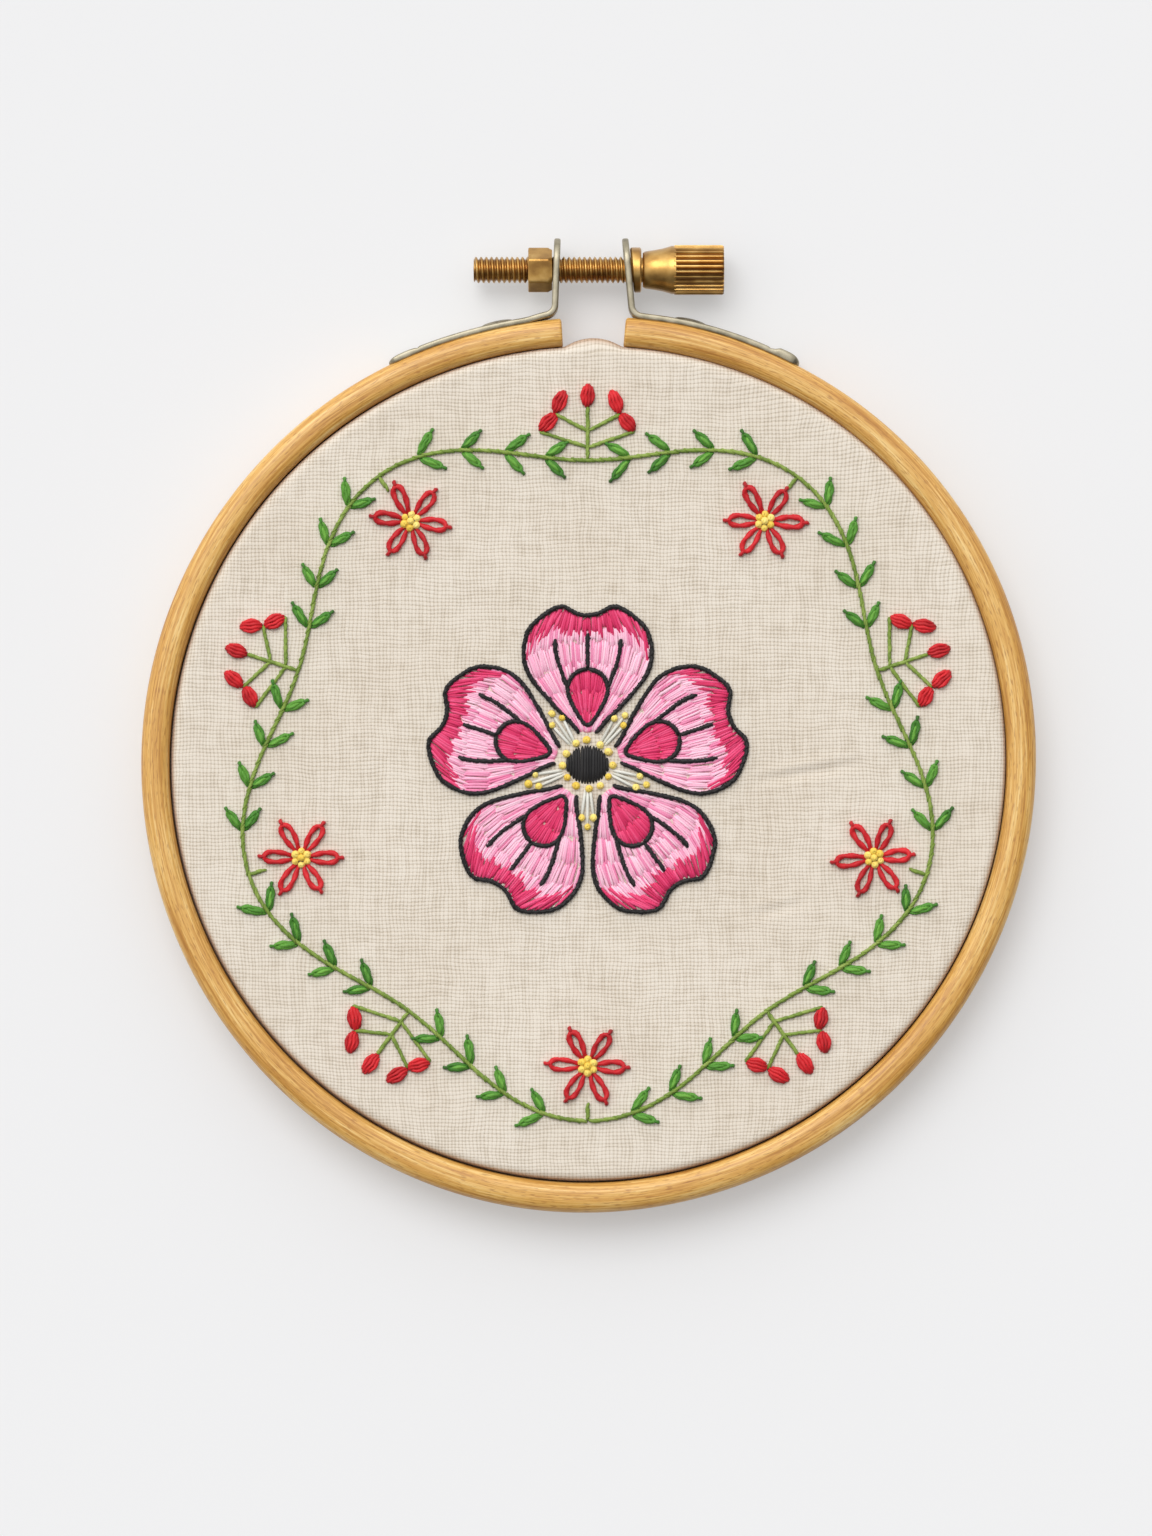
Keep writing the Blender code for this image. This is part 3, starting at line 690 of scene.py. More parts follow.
# %% Floss material
def floss(name, dark, middle, light):
    """Mercerised cotton floss in three tones: softly glossy, with fine fibres."""
    material, tree, shader = new_material(name)
    shade = tree.add("ShaderNodeAttribute", attribute_name="shade").outputs["Fac"]
    place = tree.add("ShaderNodeTexCoord").outputs["Object"]
    fibres = tree.noise(place, 1 / (0.22 * MM), 3.0)
    patches = tree.noise(place, 1 / (2.6 * MM), 1.0)
    uneven = tree.math("MULTIPLY_ADD", fibres, 0.45, shade)
    mixed = tree.math("SUBTRACT", tree.math("MULTIPLY_ADD", patches, 0.3, uneven), 0.37)
    tree.feed(shader, {
        "Base Color": tree.ramp(mixed, (0.0, dark), (0.5, middle), (1.0, light)),
        "Roughness": 0.55, "Specular IOR Level": 0.35, "Sheen Weight": 0.12,
        "Normal": tree.bump(0.35, 0.06, fibres),
    })
    return material


FLOSS_TONES = {  # dark, middle and light
    "crimson": ("#B3144A", "#DA2C64", "#EE5A89"),
    "pink": ("#E678A4", "#F2A6C4", "#F9CBDC"),
    "ivory": ("#B9B5A8", "#D8D6CB", "#ECEBE4"),
    "black": ("#080708", "#141213", "#262324"),
    "red": ("#8A0710", "#BC0D19", "#DD2029"),
    "green": ("#234F0F", "#3F7D1F", "#6BA63B"),
    "olive": ("#51691F", "#7A9339", "#A2B45C"),
    "yellow": ("#D3A52F", "#EDCB50", "#F8E384"),
}
flosses = {colour: floss("floss_" + colour, *codes) for colour, codes in FLOSS_TONES.items()}
print(len(flosses), "colours of floss")

# %% [markdown]
# One Geometry Nodes tree lays every stitch. Its guide is a mesh of loose edges on the cloth, one chain
# for each stitch. The tree lifts the middle of a chain off the cloth and sinks its ends in, adds a
# little unevenness, twists it, and runs a lobed section along it. The lobes are the strands of floss.
# The points carry three numbers of their own: lift over the stitches below, girth, and shade.

# %% Geometry Nodes tree for laid stitches
def new_tree(name, **sockets):
    """A Geometry Nodes group and its inputs, whose names are given for each type of socket."""
    tree = bpy.data.node_groups.new(name, "GeometryNodeTree")
    for kind, labels in sockets.items():
        for label in labels.split(", "):
            tree.interface.new_socket(label, in_out="INPUT", socket_type="NodeSocket" + kind)
    tree.interface.new_socket("Piece", in_out="OUTPUT", socket_type="NodeSocketGeometry")
    nodes = Nodes(tree)
    return nodes, nodes.add("NodeGroupInput").outputs


def end_tree(tree, shape, material):
    """Realize Instances, Set Material and the group's output."""
    real = tree.add("GeometryNodeRealizeInstances", {0: shape})
    painted = tree.add("GeometryNodeSetMaterial", {"Geometry": real, "Material": material})
    tree.add("NodeGroupOutput", {0: painted})


stitch_tree, given = new_tree(
    "laid_stitches", Geometry="Guide", Int="Strands, Rings, Sides, Seed", Material="Floss",
    Float="Thread Width, Rise, Dive, Flatness, Groove, Twist Pitch, End Taper, Wobble")
chains = stitch_tree.add("GeometryNodeMeshToCurve", {"Mesh": given["Guide"]})
chains = stitch_tree.add("GeometryNodeResampleCurve", {"Curve": chains, "Count": given["Rings"]})
where = stitch_tree.add("GeometryNodeSplineParameter").outputs
swing = stitch_tree.math("MULTIPLY_ADD", where["Factor"], 2.0, -1.0)
to_end = stitch_tree.math("ABSOLUTE", swing)
fall = stitch_tree.math("POWER", to_end, 4.0)
arch = stitch_tree.math("SUBTRACT", 1.0, fall)
lift = stitch_tree.attribute("lift")
sunk = stitch_tree.math("MULTIPLY", fall, given["Dive"])
raised = stitch_tree.math("ADD", lift, given["Rise"])
arched = stitch_tree.math("MULTIPLY", arch, raised)
height = stitch_tree.math("SUBTRACT", arched, sunk)
uneven = stitch_tree.add("ShaderNodeTexNoise", {
    "Vector": stitch_tree.add("GeometryNodeInputPosition"), "W": given["Seed"], "Scale": 1 / (0.9 * MM),
}, noise_dimensions="4D")
centred = stitch_tree.vector("SUBTRACT", uneven.outputs["Color"], (0.5, 0.5, 0.5))
sway = stitch_tree.math("MULTIPLY", arch, given["Wobble"])
stray = stitch_tree.add("ShaderNodeVectorMath", {0: centred, "Scale": sway}, operation="SCALE")
upward = stitch_tree.add("ShaderNodeCombineXYZ", {"Z": height})
shift = stitch_tree.vector("ADD", stray, upward)
laid = stitch_tree.add("GeometryNodeSetPosition", {"Geometry": chains, "Offset": shift})
level = stitch_tree.add("GeometryNodeSetCurveNormal", {"Curve": laid}, mode="Z_UP")
turns = stitch_tree.math("DIVIDE", where["Length"], given["Twist Pitch"])
twist = stitch_tree.math("MULTIPLY", turns, 2 * pi)
twisted = stitch_tree.add("GeometryNodeSetCurveTilt", {"Curve": level, "Tilt": twist})

# %% Section of the floss, run along the stitches
circle = stitch_tree.add("GeometryNodeCurvePrimitiveCircle", {"Resolution": given["Sides"], "Radius": 1.0})
round_it = stitch_tree.math("MULTIPLY", where["Factor"], 2 * pi)
lobe_turn = stitch_tree.math("MULTIPLY", round_it, given["Strands"])
lobes = stitch_tree.math("COSINE", lobe_turn)
half_groove = stitch_tree.math("MULTIPLY", given["Groove"], 0.5)
full = stitch_tree.math("SUBTRACT", 1.0, half_groove)
lobed = stitch_tree.math("MULTIPLY_ADD", lobes, half_groove, full)
half_width = stitch_tree.math("MULTIPLY", given["Thread Width"], 0.5)
reach = stitch_tree.math("MULTIPLY", lobed, half_width)
spot = stitch_tree.add("ShaderNodeVectorMath", {
    0: stitch_tree.add("GeometryNodeInputPosition"), "Scale": reach,
}, operation="SCALE")
flatten = stitch_tree.add("ShaderNodeCombineXYZ", {"X": 1.0, "Y": given["Flatness"], "Z": 1.0})
flat_spot = stitch_tree.vector("MULTIPLY", spot, flatten)
section = stitch_tree.add("GeometryNodeSetPosition", {"Geometry": circle, "Position": flat_spot})
girth = stitch_tree.attribute("girth")
narrow = stitch_tree.mapped(fall, 0.25, 1.0, 1.0, given["End Taper"])
size = stitch_tree.math("MULTIPLY", girth, narrow)
threads = stitch_tree.add("GeometryNodeCurveToMesh", {
    "Curve": twisted, "Profile Curve": section, "Scale": size, "Fill Caps": True,
})
end_tree(stitch_tree, threads, given["Floss"])


def grow(name, guide, nodes, sizes):
    """Run a tree on a guide mesh, its inputs set by name, and return the result as a plain mesh."""
    carrier = placed(name, guide)
    modifier = carrier.modifiers.new(nodes.tree.name, "NODES")
    modifier.node_group = nodes.tree
    for item in nodes.tree.interface.items_tree:
        if item.in_out == "INPUT" and item.name in sizes:
            modifier[item.identifier] = sizes[item.name]
    return plain_mesh(carrier)


print("stitch tree has", len(stitch_tree.tree.nodes), "nodes")

# %% [markdown]
# A stitch is a short list of points on the cloth with its lift, girth and shade. The reverse of the
# work is what the needle leaves when it travels: from the end of one stitch to the start of the next.
# So the same list gives both sides, and a long jump is left out because a maker would start afresh.

# %% Stitches as guides
Stitch = namedtuple("Stitch", "points lift girth shade")
LONGEST_JUMP = 7.0 * MM


def guide_mesh(name, stitches, drop=0.0):
    """Chains of edges on the cloth, or a given drop below its front."""
    places, edges, owners = [], [], []
    for stitch in stitches:
        first = len(places)
        for point in stitch.points:
            height = cloth_front(point) - drop
            places.append((HOOP.x + point[0], HOOP.y + point[1], height))
        edges += [(i, i + 1) for i in range(first, len(places) - 1)]
        owners += [stitch] * len(stitch.points)
    mesh = bpy.data.meshes.new(name)
    mesh.from_pydata(places, edges, [])
    for label in ("lift", "girth", "shade"):
        mark_points(mesh, label, [getattr(owner, label) for owner in owners])
    return mesh


def stitched(name, stitches, colour, width, rise, drop=0.0, **extra):
    """Lay stitches as one piece on the hoop's body."""
    sizes = {
        "Thread Width": width, "Rise": rise, "Dive": 0.25 * MM, "Flatness": 0.85, "Strands": 0, "Groove": 0.0,
        "Twist Pitch": 0.0, "End Taper": 0.55, "Wobble": 0.06 * MM, "Rings": 7, "Sides": 6, "Seed": 3,
        "Floss": flosses[colour],
    }
    sizes.update({label.replace("_", " "): value for label, value in extra.items()})
    mesh = grow(name, guide_mesh(name, stitches, drop), stitch_tree, sizes)
    for label in ("lift", "girth"):
        mesh.attributes.remove(mesh.attributes[label])
    piece = piece_from(name, mesh, flosses[colour], sharp=80.0)
    settle(piece, "hoop", "cotton")
    return piece


# %% [markdown]
# Stem stitch draws every line: slanting stitches, each starting halfway back along the one before, so
# that the line looks like a thin rope. Helpers measure a path and read a point and a direction off it.

# %% Paths and stem stitch
def measured(path):
    """Distance of each point along a path."""
    marks = [0.0]
    for here, there in zip(path, path[1:]):
        marks.append(marks[-1] + (there - here).length)
    return marks


def along(path, marks, distance):
    """Point and direction at a distance along a path."""
    distance = min(max(distance, 0.0), marks[-1])
    i = min(max(bisect_right(marks, distance) - 1, 0), len(path) - 2)
    step = path[i + 1] - path[i]
    return path[i] + step * (distance - marks[i]) / step.length, step.normalized()


def stem_stitch(path, dice, length=2.5 * MM, step=1.2 * MM, slant=0.13 * MM, lift=0.0, tone=(0.3, 0.7)):
    """Overlapping slanted stitches along a path."""
    marks = measured(path)
    count = max(2, round(marks[-1] / step))
    stitches = []
    for i in range(count):
        start = marks[-1] * i / count - 0.5 * (length - step)
        points = []
        for share in (0.0, 0.5, 1.0):
            place, way = along(path, marks, start + length * share)
            side = slant * (1 - 2 * share) + dice.uniform(-0.04, 0.04) * MM
            points.append(place + crosswise(way) * side)
        stitches.append(Stitch(points, lift, dice.uniform(0.9, 1.1), dice.uniform(*tone)))
    return stitches


def smooth_value(table, x):
    """Value of a smooth curve through a table of (x, value) rows."""
    xs = [row[0] for row in table]
    i = min(max(bisect_right(xs, x) - 1, 0), len(table) - 2)
    (x0, y0), (x1, y1) = table[i], table[i + 1]
    before = table[max(i - 1, 0)]
    after = table[min(i + 2, len(table) - 1)]
    slope0 = (y1 - before[1]) / (x1 - before[0])
    slope1 = (after[1] - y0) / (after[0] - x0)
    t = (x - x0) / (x1 - x0)
    width = x1 - x0
    return ((2 * t ** 3 - 3 * t ** 2 + 1) * y0 + (t ** 3 - 2 * t ** 2 + t) * width * slope0
            + (3 * t ** 2 - 2 * t ** 3) * y1 + (t ** 3 - t ** 2) * width * slope1)


print("a quarter of the way up a petal it is", round(smooth_value([(5, 20), (9, 30), (13, 34)], 10), 1),
      "degrees to each side")

# %% [markdown]
# The middle of the cloth carries one five-petalled blossom in pinks with dark outlines. A petal is
# drawn in its own two numbers: the distance from the blossom's middle, and how far it is to the side,
# from -1 at one edge to 1 at the other. Its crimson heart, the veins and the tip's crimson rim are
# simple rules in those numbers, and so are the rows of long and short stitches that fill it.

# %% Rules of a petal
REPEATS = 5
PETAL_SIDE = [  # distance in mm, half angle in degrees
    (5.0, 20.0), (9.0, 30.0), (13.0, 34.0), (17.0, 34.5), (20.0, 31.0), (23.0, 24.0), (25.3, 14.0),
]
PETAL_ROOT = 5.0
PETAL_NOTCH = 23.4
PETAL_TIP = 25.3
OUTLINE_INSET = 0.45
HEART_MIDDLE, HEART_REACH, HEART_SIDE = 10.3, 4.5, 0.52
LANE = 0.36
VEINS = [(-0.47, 4.4), (0.0, 2.6), (0.47, 4.4)]  # side value, and how far from the tip the vein stops, in mm
sprays = [pi / 2 + 2 * pi * k / REPEATS for k in range(REPEATS)]
bays = [-pi / 2 + 2 * pi * k / REPEATS for k in range(REPEATS)]


def petal_point(middle, distance, side):
    """Point of a petal, from its two numbers, on the cloth."""
    half = radians(smooth_value(PETAL_SIDE, distance)) - OUTLINE_INSET / distance
    return flat_polar(distance * MM, middle + side * half)


def tip_distance(side):
    """Where a petal ends: a shallow notch in the middle and a round lobe on either side of it."""
    away = abs(side)
    rise = smooth_value([(0.0, 0.0), (0.2, 0.25), (0.45, 0.8), (0.68, 1.0), (0.85, 0.78), (1.0, 0.1)], away)
    return PETAL_NOTCH + (PETAL_TIP - PETAL_NOTCH) * rise - OUTLINE_INSET


def heart_span(side):
    """Lower and upper end of the heart at this side value, or None beside it."""
    share = side / HEART_SIDE
    if abs(share) >= 1.0:
        return None
    reach = HEART_REACH * sqrt(1 - share ** 2)
    return HEART_MIDDLE - reach, HEART_MIDDLE + reach


def lanes(distance, dice):
    """Side values of neighbouring stitches across a petal, a lane apart, with a little unevenness."""
    half = radians(smooth_value(PETAL_SIDE, distance)) * distance
    count = round(2 * half / LANE)
    return [(2 * (i + 0.5 + dice.uniform(-0.2, 0.2)) / count - 1) for i in range(count)]


# %% Long and short stitches in the petals
PINK_ROWS = [5.0, 8.4, 12.2, 16.0, 19.6, 24.6]
HEART_ROWS = [5.4, 8.6, 11.8, 15.2]
ROW_OVERLAP = 0.8
SHORTEST = 0.8
RIM_SHORT, RIM_LONG = 2.2, 4.6

dice = random.Random(11)
filling = {"pink": [], "crimson": [], "rim": []}


def fill_row(group, middle, low, high, span, side, tone, lift=0.0):
    """One stitch of a row, kept inside the span of its cell."""
    start = max(span[0], low - ROW_OVERLAP + dice.uniform(-0.8, 0.5))
    end = min(span[1], high + dice.uniform(-0.6, 0.8))
    if end - start < SHORTEST:
        return
    lean = dice.uniform(-0.012, 0.012)
    points = [petal_point(middle, start, side), petal_point(middle, end, side + lean)]
    lift += dice.uniform(0.0, 0.1) * MM
    filling[group].append(Stitch(points, lift, dice.uniform(0.88, 1.15), tone))


for middle in sprays:
    for low, high in zip(PINK_ROWS, PINK_ROWS[1:]):
        for side in lanes((low + high) / 2, dice):
            heart = heart_span(side)
            spans = [(PETAL_ROOT, tip_distance(side) - RIM_SHORT)]
            if heart:
                spans = [(PETAL_ROOT, heart[0]), (heart[1], tip_distance(side) - RIM_SHORT)]
            for span in spans:
                deep = dice.random() < 0.22 + 0.25 * (low < 9.0)
                tone = dice.uniform(0.05, 0.4) if deep else dice.uniform(0.55, 1.0)
                fill_row("pink", middle, low, high, span, side, tone)
    for low, high in zip(HEART_ROWS, HEART_ROWS[1:]):
        for side in lanes((low + high) / 2, dice):
            heart = heart_span(side)
            if heart:
                fill_row("crimson", middle, low, high, heart, side, dice.uniform(0.3, 0.85))
    for side in lanes(tip_distance(0.6) - RIM_SHORT, dice):
        tip = tip_distance(side)
        depth = dice.uniform(RIM_SHORT, RIM_LONG) + 1.6 * abs(side) ** 3
        fill_row("rim", middle, tip - depth, tip, (tip - depth, tip), side, dice.uniform(0.2, 0.9), 0.08 * MM)
print({group: len(stitches) for group, stitches in filling.items()}, "filling stitches")

# %% Outlines and veins of the petals
dice = random.Random(12)
lines = []
STEPS = 40
for middle in sprays:
    shoulder = tip_distance(1.0)
    rising = [PETAL_ROOT + (shoulder - PETAL_ROOT) * i / STEPS for i in range(STEPS)]
    around = [1 - 2 * i / STEPS for i in range(STEPS + 1)]
    outline = [petal_point(middle, distance, 1.0) for distance in rising]
    outline += [petal_point(middle, tip_distance(side), side) for side in around]
    outline += [petal_point(middle, distance, -1.0) for distance in reversed(rising)]
    turns = [2 * pi * i / STEPS for i in range(STEPS + 1)]
    heart_line = [petal_point(middle, HEART_MIDDLE + HEART_REACH * cos(turn), HEART_SIDE * sin(turn))
                  for turn in turns]
    paths = [outline, heart_line]
    for side, short in VEINS:
        low = heart_span(side)[1]
        high = tip_distance(side) - short
        paths.append([petal_point(middle, low + (high - low) * i / 8, side * (1 + 0.06 * i / 8))
                      for i in range(9)])
    for path in paths:
        lines += stem_stitch(path, dice, length=2.4 * MM, step=1.15 * MM, slant=0.12 * MM)
print(len(lines), "line stitches")

# %% [markdown]
# French knots are the small beads of floss: the thread is wound twice round the needle and pulled
# down. Their tree winds a short rising spiral, puts one on every point of its guide, and turns and
# scales each by chance from a fixed seed.

# %% Geometry Nodes tree for French knots
knot_tree, given = new_tree("french_knots", Geometry="Points", Float="Thread Width, Coil Radius, Height, Turns",
                            Int="Seed", Material="Floss")
inner_radius = knot_tree.math("MULTIPLY", given["Coil Radius"], 0.3)
coil = knot_tree.add("GeometryNodeCurveSpiral", {
    "Resolution": 12, "Rotations": given["Turns"], "Start Radius": given["Coil Radius"],
    "End Radius": inner_radius, "Height": given["Height"],
})
half_width = knot_tree.math("MULTIPLY", given["Thread Width"], 0.5)
strand = knot_tree.add("GeometryNodeCurvePrimitiveCircle", {"Resolution": 7, "Radius": half_width})
bead = knot_tree.add("GeometryNodeCurveToMesh", {"Curve": coil, "Profile Curve": strand, "Fill Caps": True})
turned = knot_tree.add("FunctionNodeRandomValue", {
    0: (-0.3, -0.3, 0.0), 1: (0.3, 0.3, 2 * pi), "Seed": given["Seed"],
}, data_type="FLOAT_VECTOR")
sized = knot_tree.add("FunctionNodeRandomValue", {2: 0.88, 3: 1.14, "Seed": given["Seed"]}, data_type="FLOAT")
beads = knot_tree.add("GeometryNodeInstanceOnPoints", {
    "Points": given["Points"], "Instance": bead, "Rotation": turned, "Scale": sized.outputs[1],
})
end_tree(knot_tree, beads, given["Floss"])


def knotted(name, places, colour, width, coil_radius, dice):
    """Lay French knots at places on the cloth as one piece."""
    mesh = bpy.data.meshes.new(name)
    sunk = 0.15 * MM
    mesh.from_pydata([(HOOP.x + x, HOOP.y + y, cloth_front((x, y)) + lift + width / 2 - sunk)
                      for x, y, lift in places], [], [])
    mark_points(mesh, "shade", [dice.uniform(0.35, 0.95) for _ in places])
    sizes = {"Thread Width": width, "Coil Radius": coil_radius, "Height": 0.7 * width, "Turns": 2.2, "Seed": 5,
             "Floss": flosses[colour]}
    piece = piece_from(name, grow(name, mesh, knot_tree, sizes), flosses[colour], sharp=80.0)
    settle(piece, "hoop", "cotton")
    return piece


# %% [markdown]
# The middle of the blossom is satin stitch, parallel threads side by side, ringed by French knots.
# Between the petals stand stamens: one long straight stitch with a knot at its end.

# %% Middle of the blossom
EYE_RADIUS = 3.25
KNOT_RING = 3.75
KNOTS_ROUND = 12
STAMEN_END = 9.6

dice = random.Random(13)
eye = []
rows = round(2 * EYE_RADIUS / 0.42)
for i in range(rows):
    x = EYE_RADIUS * (2 * (i + 0.5) / rows - 1)
    y = sqrt(EYE_RADIUS ** 2 - x ** 2)
    ends = [Vector((x, -y)) * MM, Vector((x + dice.uniform(-0.1, 0.1), y)) * MM]
    eye.append(Stitch(ends, dice.uniform(0.0, 0.12) * MM, dice.uniform(0.9, 1.1), dice.uniform(0.2, 0.8)))
knots = []
for i in range(KNOTS_ROUND):
    distance = (KNOT_RING + dice.uniform(-0.12, 0.12)) * MM
    place = flat_polar(distance, 2 * pi * (i + dice.uniform(-0.1, 0.1)) / KNOTS_ROUND)
    knots.append((place.x, place.y, 0.1 * MM))
stamens = []
for bay in bays:
    for lean, reach in ((-0.16, 0.86), (0.0, 1.0), (0.16, 0.86)):
        root = flat_polar(KNOT_RING * MM, bay + 0.6 * lean)
        end = flat_polar(STAMEN_END * reach * MM, bay + lean * 0.75 + dice.uniform(-0.02, 0.02))
        stamens.append(Stitch([root, end], 0.25 * MM, 1.0, dice.uniform(0.3, 0.8)))
        knots.append((end.x, end.y, 0.15 * MM))

# %% [markdown]
# Round the blossom runs a closed wavy vine in stem stitch, with pairs of leaves that grow from the
# bottom up both sides. Where the vine swings out, a red daisy sits inside it. Where it swings in, a
# spray of berries stands outside it. All of these places follow from one wave round the hoop.

# %% Rules of the vine
VINE_RADIUS = 51.0 * MM
VINE_SWING = 4.0 * MM
FLOWER_RING = 46.5 * MM
LEAF_OFFSETS = [7.0, 14.0, 21.0, 28.0]
LEAF_SPREAD = radians(38.0)
VINE_POINTS = 360


def vine_point(angle):
    """Point of the vine, which swings out at the bottom and at every fifth of a turn from there."""
    return flat_polar(VINE_RADIUS + VINE_SWING * cos(REPEATS * (angle + pi / 2)), angle)


def straight(start, end, steps=8):
    """Points of a straight path."""
    return [start.lerp(end, i / steps) for i in range(steps + 1)]


dice = random.Random(14)
vine = [vine_point(-pi / 2 + 2 * pi * i / VINE_POINTS) for i in range(VINE_POINTS + 1)]
stems = stem_stitch(vine, dice, length=2.6 * MM, step=1.45 * MM, slant=0.2 * MM, lift=0.05 * MM)
for bay in bays:
    stems += stem_stitch(straight(flat_polar(FLOWER_RING + 5.6 * MM, bay), vine_point(bay)), dice)
print(len(stems), "stem stitches in the vine")

# %% [markdown]
# A leaf is one detached chain stitch: a loop of floss held down at its tip by a tiny tie, with a
# straight stitch laid inside it. The daisy's petals are the same stitch, longer and with room for the
# cloth to show inside the loop. So one function draws both.

# %% Detached chain stitch
LOOP_POINTS = 16
LEAF_LENGTH, LEAF_LOOP = 4.3 * MM, 0.86 * MM
DAISY_ROOT, DAISY_TIP = 0.9 * MM, 5.75 * MM
DAISY_LOOP = 1.75 * MM
DAISY_PETALS = 6


def chain_loop(root, way, length, width, tone, dice, lift=0.0):
    """A loop that leaves its root, turns at its tip and comes back, with the tie that holds it."""
    across = crosswise(way)
    skew = dice.uniform(-0.06, 0.06)
    points = []
    for i in range(LOOP_POINTS + 1):
        turn = 2 * pi * i / LOOP_POINTS
        forward = (1 - cos(turn)) / 2
        out = sin(turn) * (0.35 + 0.65 * forward) * width / 2 * 1.25
        points.append(root + way * length * forward + across * (out + skew * length * forward * (1 - forward)))
    tip = root + way * length
    tie = [tip - way * 0.15 * MM, tip + way * 0.75 * MM]
    return [Stitch(points, lift, dice.uniform(0.92, 1.08), tone),
            Stitch(tie, lift + 0.1 * MM, 0.8, tone - 0.25)]


dice = random.Random(15)
leaf_loops, leaf_hearts = [], []
for bay in bays:
    for offset in [side * radians(offset) for side in (-1, 1) for offset in LEAF_OFFSETS]:
        angle = bay + offset
        root = vine_point(angle)
        ahead = vine_point(angle + 0.01) - root
        growth = 1 if root.x > 0 else -1
        travel = atan2(growth * ahead.y, growth * ahead.x)
        for spread in (-LEAF_SPREAD, LEAF_SPREAD):
            turn = travel + spread * dice.uniform(0.9, 1.15)
            way = flat_polar(1.0, turn)
            length = (LEAF_LENGTH - 0.6 * MM) * dice.uniform(0.9, 1.08)
            start = root + way * 0.25 * MM
            leaf_loops += chain_loop(start, way, length, LEAF_LOOP, dice.uniform(0.35, 0.75), dice)
            inner = [start + way * 0.5 * MM, start + way * (length - 0.35 * MM)]
            leaf_hearts.append(Stitch(inner, 0.12 * MM, dice.uniform(0.9, 1.1), dice.uniform(0.6, 1.0)))
print(len(leaf_hearts), "leaves")

# %% Daisies and berries
BERRIES = [  # distance in mm, offset in degrees, turn from the radial in degrees, where its stem leaves in mm
    (57.0, 0.0, 0.0, 53.0), (56.2, 4.4, -28.0, 51.5), (56.2, -4.4, 28.0, 51.5),
    (53.2, 6.6, -48.0, 49.0), (53.2, -6.6, 48.0, 49.0),
]
BERRY_LENGTH, BERRY_WIDTH = 3.9, 2.2
BERRY_STRANDS = 4

dice = random.Random(16)
daisy_loops, daisy_knots = [], []
for bay in bays:
    middle = flat_polar(FLOWER_RING, bay)
    tilt = dice.uniform(-0.12, 0.12)
    for i in range(DAISY_PETALS):
        way = flat_polar(1.0, tilt + 2 * pi * (i + dice.uniform(-0.05, 0.05)) / DAISY_PETALS)
        length = (DAISY_TIP - DAISY_ROOT) * dice.uniform(0.94, 1.04)
        daisy_loops += chain_loop(middle + way * DAISY_ROOT, way, length, DAISY_LOOP,
                                  dice.uniform(0.4, 0.8), dice)
    daisy_knots.append((middle.x, middle.y, 0.35 * MM))
    for i in range(6):
        place = middle + flat_polar(1.05 * MM, tilt + 2 * pi * (i + 0.5) / 6)
        daisy_knots.append((place.x, place.y, 0.12 * MM))

berries = []
for spray in sprays:
    stems += stem_stitch(straight(vine_point(spray), flat_polar(55.3 * MM, spray)), dice, length=2.2 * MM)
    for distance, offset, turn, leaves_at in BERRIES:
        place = flat_polar(distance * MM, spray + radians(offset))
        way = flat_polar(1.0, spray + radians(offset + turn + dice.uniform(-5, 5)))
        across = crosswise(way)
        length = BERRY_LENGTH * dice.uniform(0.93, 1.05)
        for i in range(BERRY_STRANDS):
            aside = (i + 0.5) / BERRY_STRANDS - 0.5
            reach = length / 2 * sqrt(1 - (1.7 * aside) ** 2)
            points = []
            for k in range(7):
                share = k / 3 - 1
                bow = aside * BERRY_WIDTH * (0.45 + 0.55 * (1 - share ** 2))
                points.append(place + way * reach * share * MM + across * bow * MM)
            raised = 0.16 * (1 - (2 * aside) ** 2) * MM
            berries.append(Stitch(points, raised, dice.uniform(0.92, 1.08), dice.uniform(0.35, 0.85)))
        if offset:
            base = place - way * length / 2 * MM
            stems += stem_stitch(straight(flat_polar(leaves_at * MM, spray), base), dice, length=2.0 * MM,
                                 step=1.1 * MM, slant=0.08 * MM)
print(len(daisy_loops) // 2, "daisy petals,", len(berries) // BERRY_STRANDS, "berries")

# %% [markdown]
# Now the stitches are laid, from the lowest to the topmost. The pinks are one strand each, so they lie
# flat and untwisted. The lines, the leaves and the daisies take three or more strands, whose twist
# shows as slanting grooves.

# %% Lay the front of the work
twisted = {"Strands": 2, "Groove": 0.22, "Sides": 10, "Flatness": 0.95}
stitched("petals_pink", filling["pink"], "pink", 0.43 * MM, 0.2 * MM)
stitched("petals_hearts", filling["crimson"], "crimson", 0.43 * MM, 0.22 * MM)
stitched("petals_rims", filling["rim"], "crimson", 0.42 * MM, 0.24 * MM)
stitched("petal_lines", lines, "black", 0.8 * MM, 0.42 * MM, Strands=3, Groove=0.16, Twist_Pitch=2.4 * MM,
         Sides=9, Wobble=0.12 * MM)
stitched("blossom_eye", eye, "black", 0.5 * MM, 0.3 * MM)
stitched("stamens", stamens, "ivory", 0.5 * MM, 0.1 * MM)
knotted("blossom_knots", knots, "yellow", 0.52 * MM, 0.4 * MM, random.Random(17))
stitched("vine_stems", stems, "olive", 0.66 * MM, 0.3 * MM, Twist_Pitch=2.8 * MM, **twisted)
stitched("leaf_loops", leaf_loops, "green", 0.8 * MM, 0.36 * MM, Twist_Pitch=3.4 * MM, Rings=22, **twisted)
stitched("leaf_hearts", leaf_hearts, "green", 0.72 * MM, 0.42 * MM, Twist_Pitch=3.4 * MM, Rings=9, **twisted)
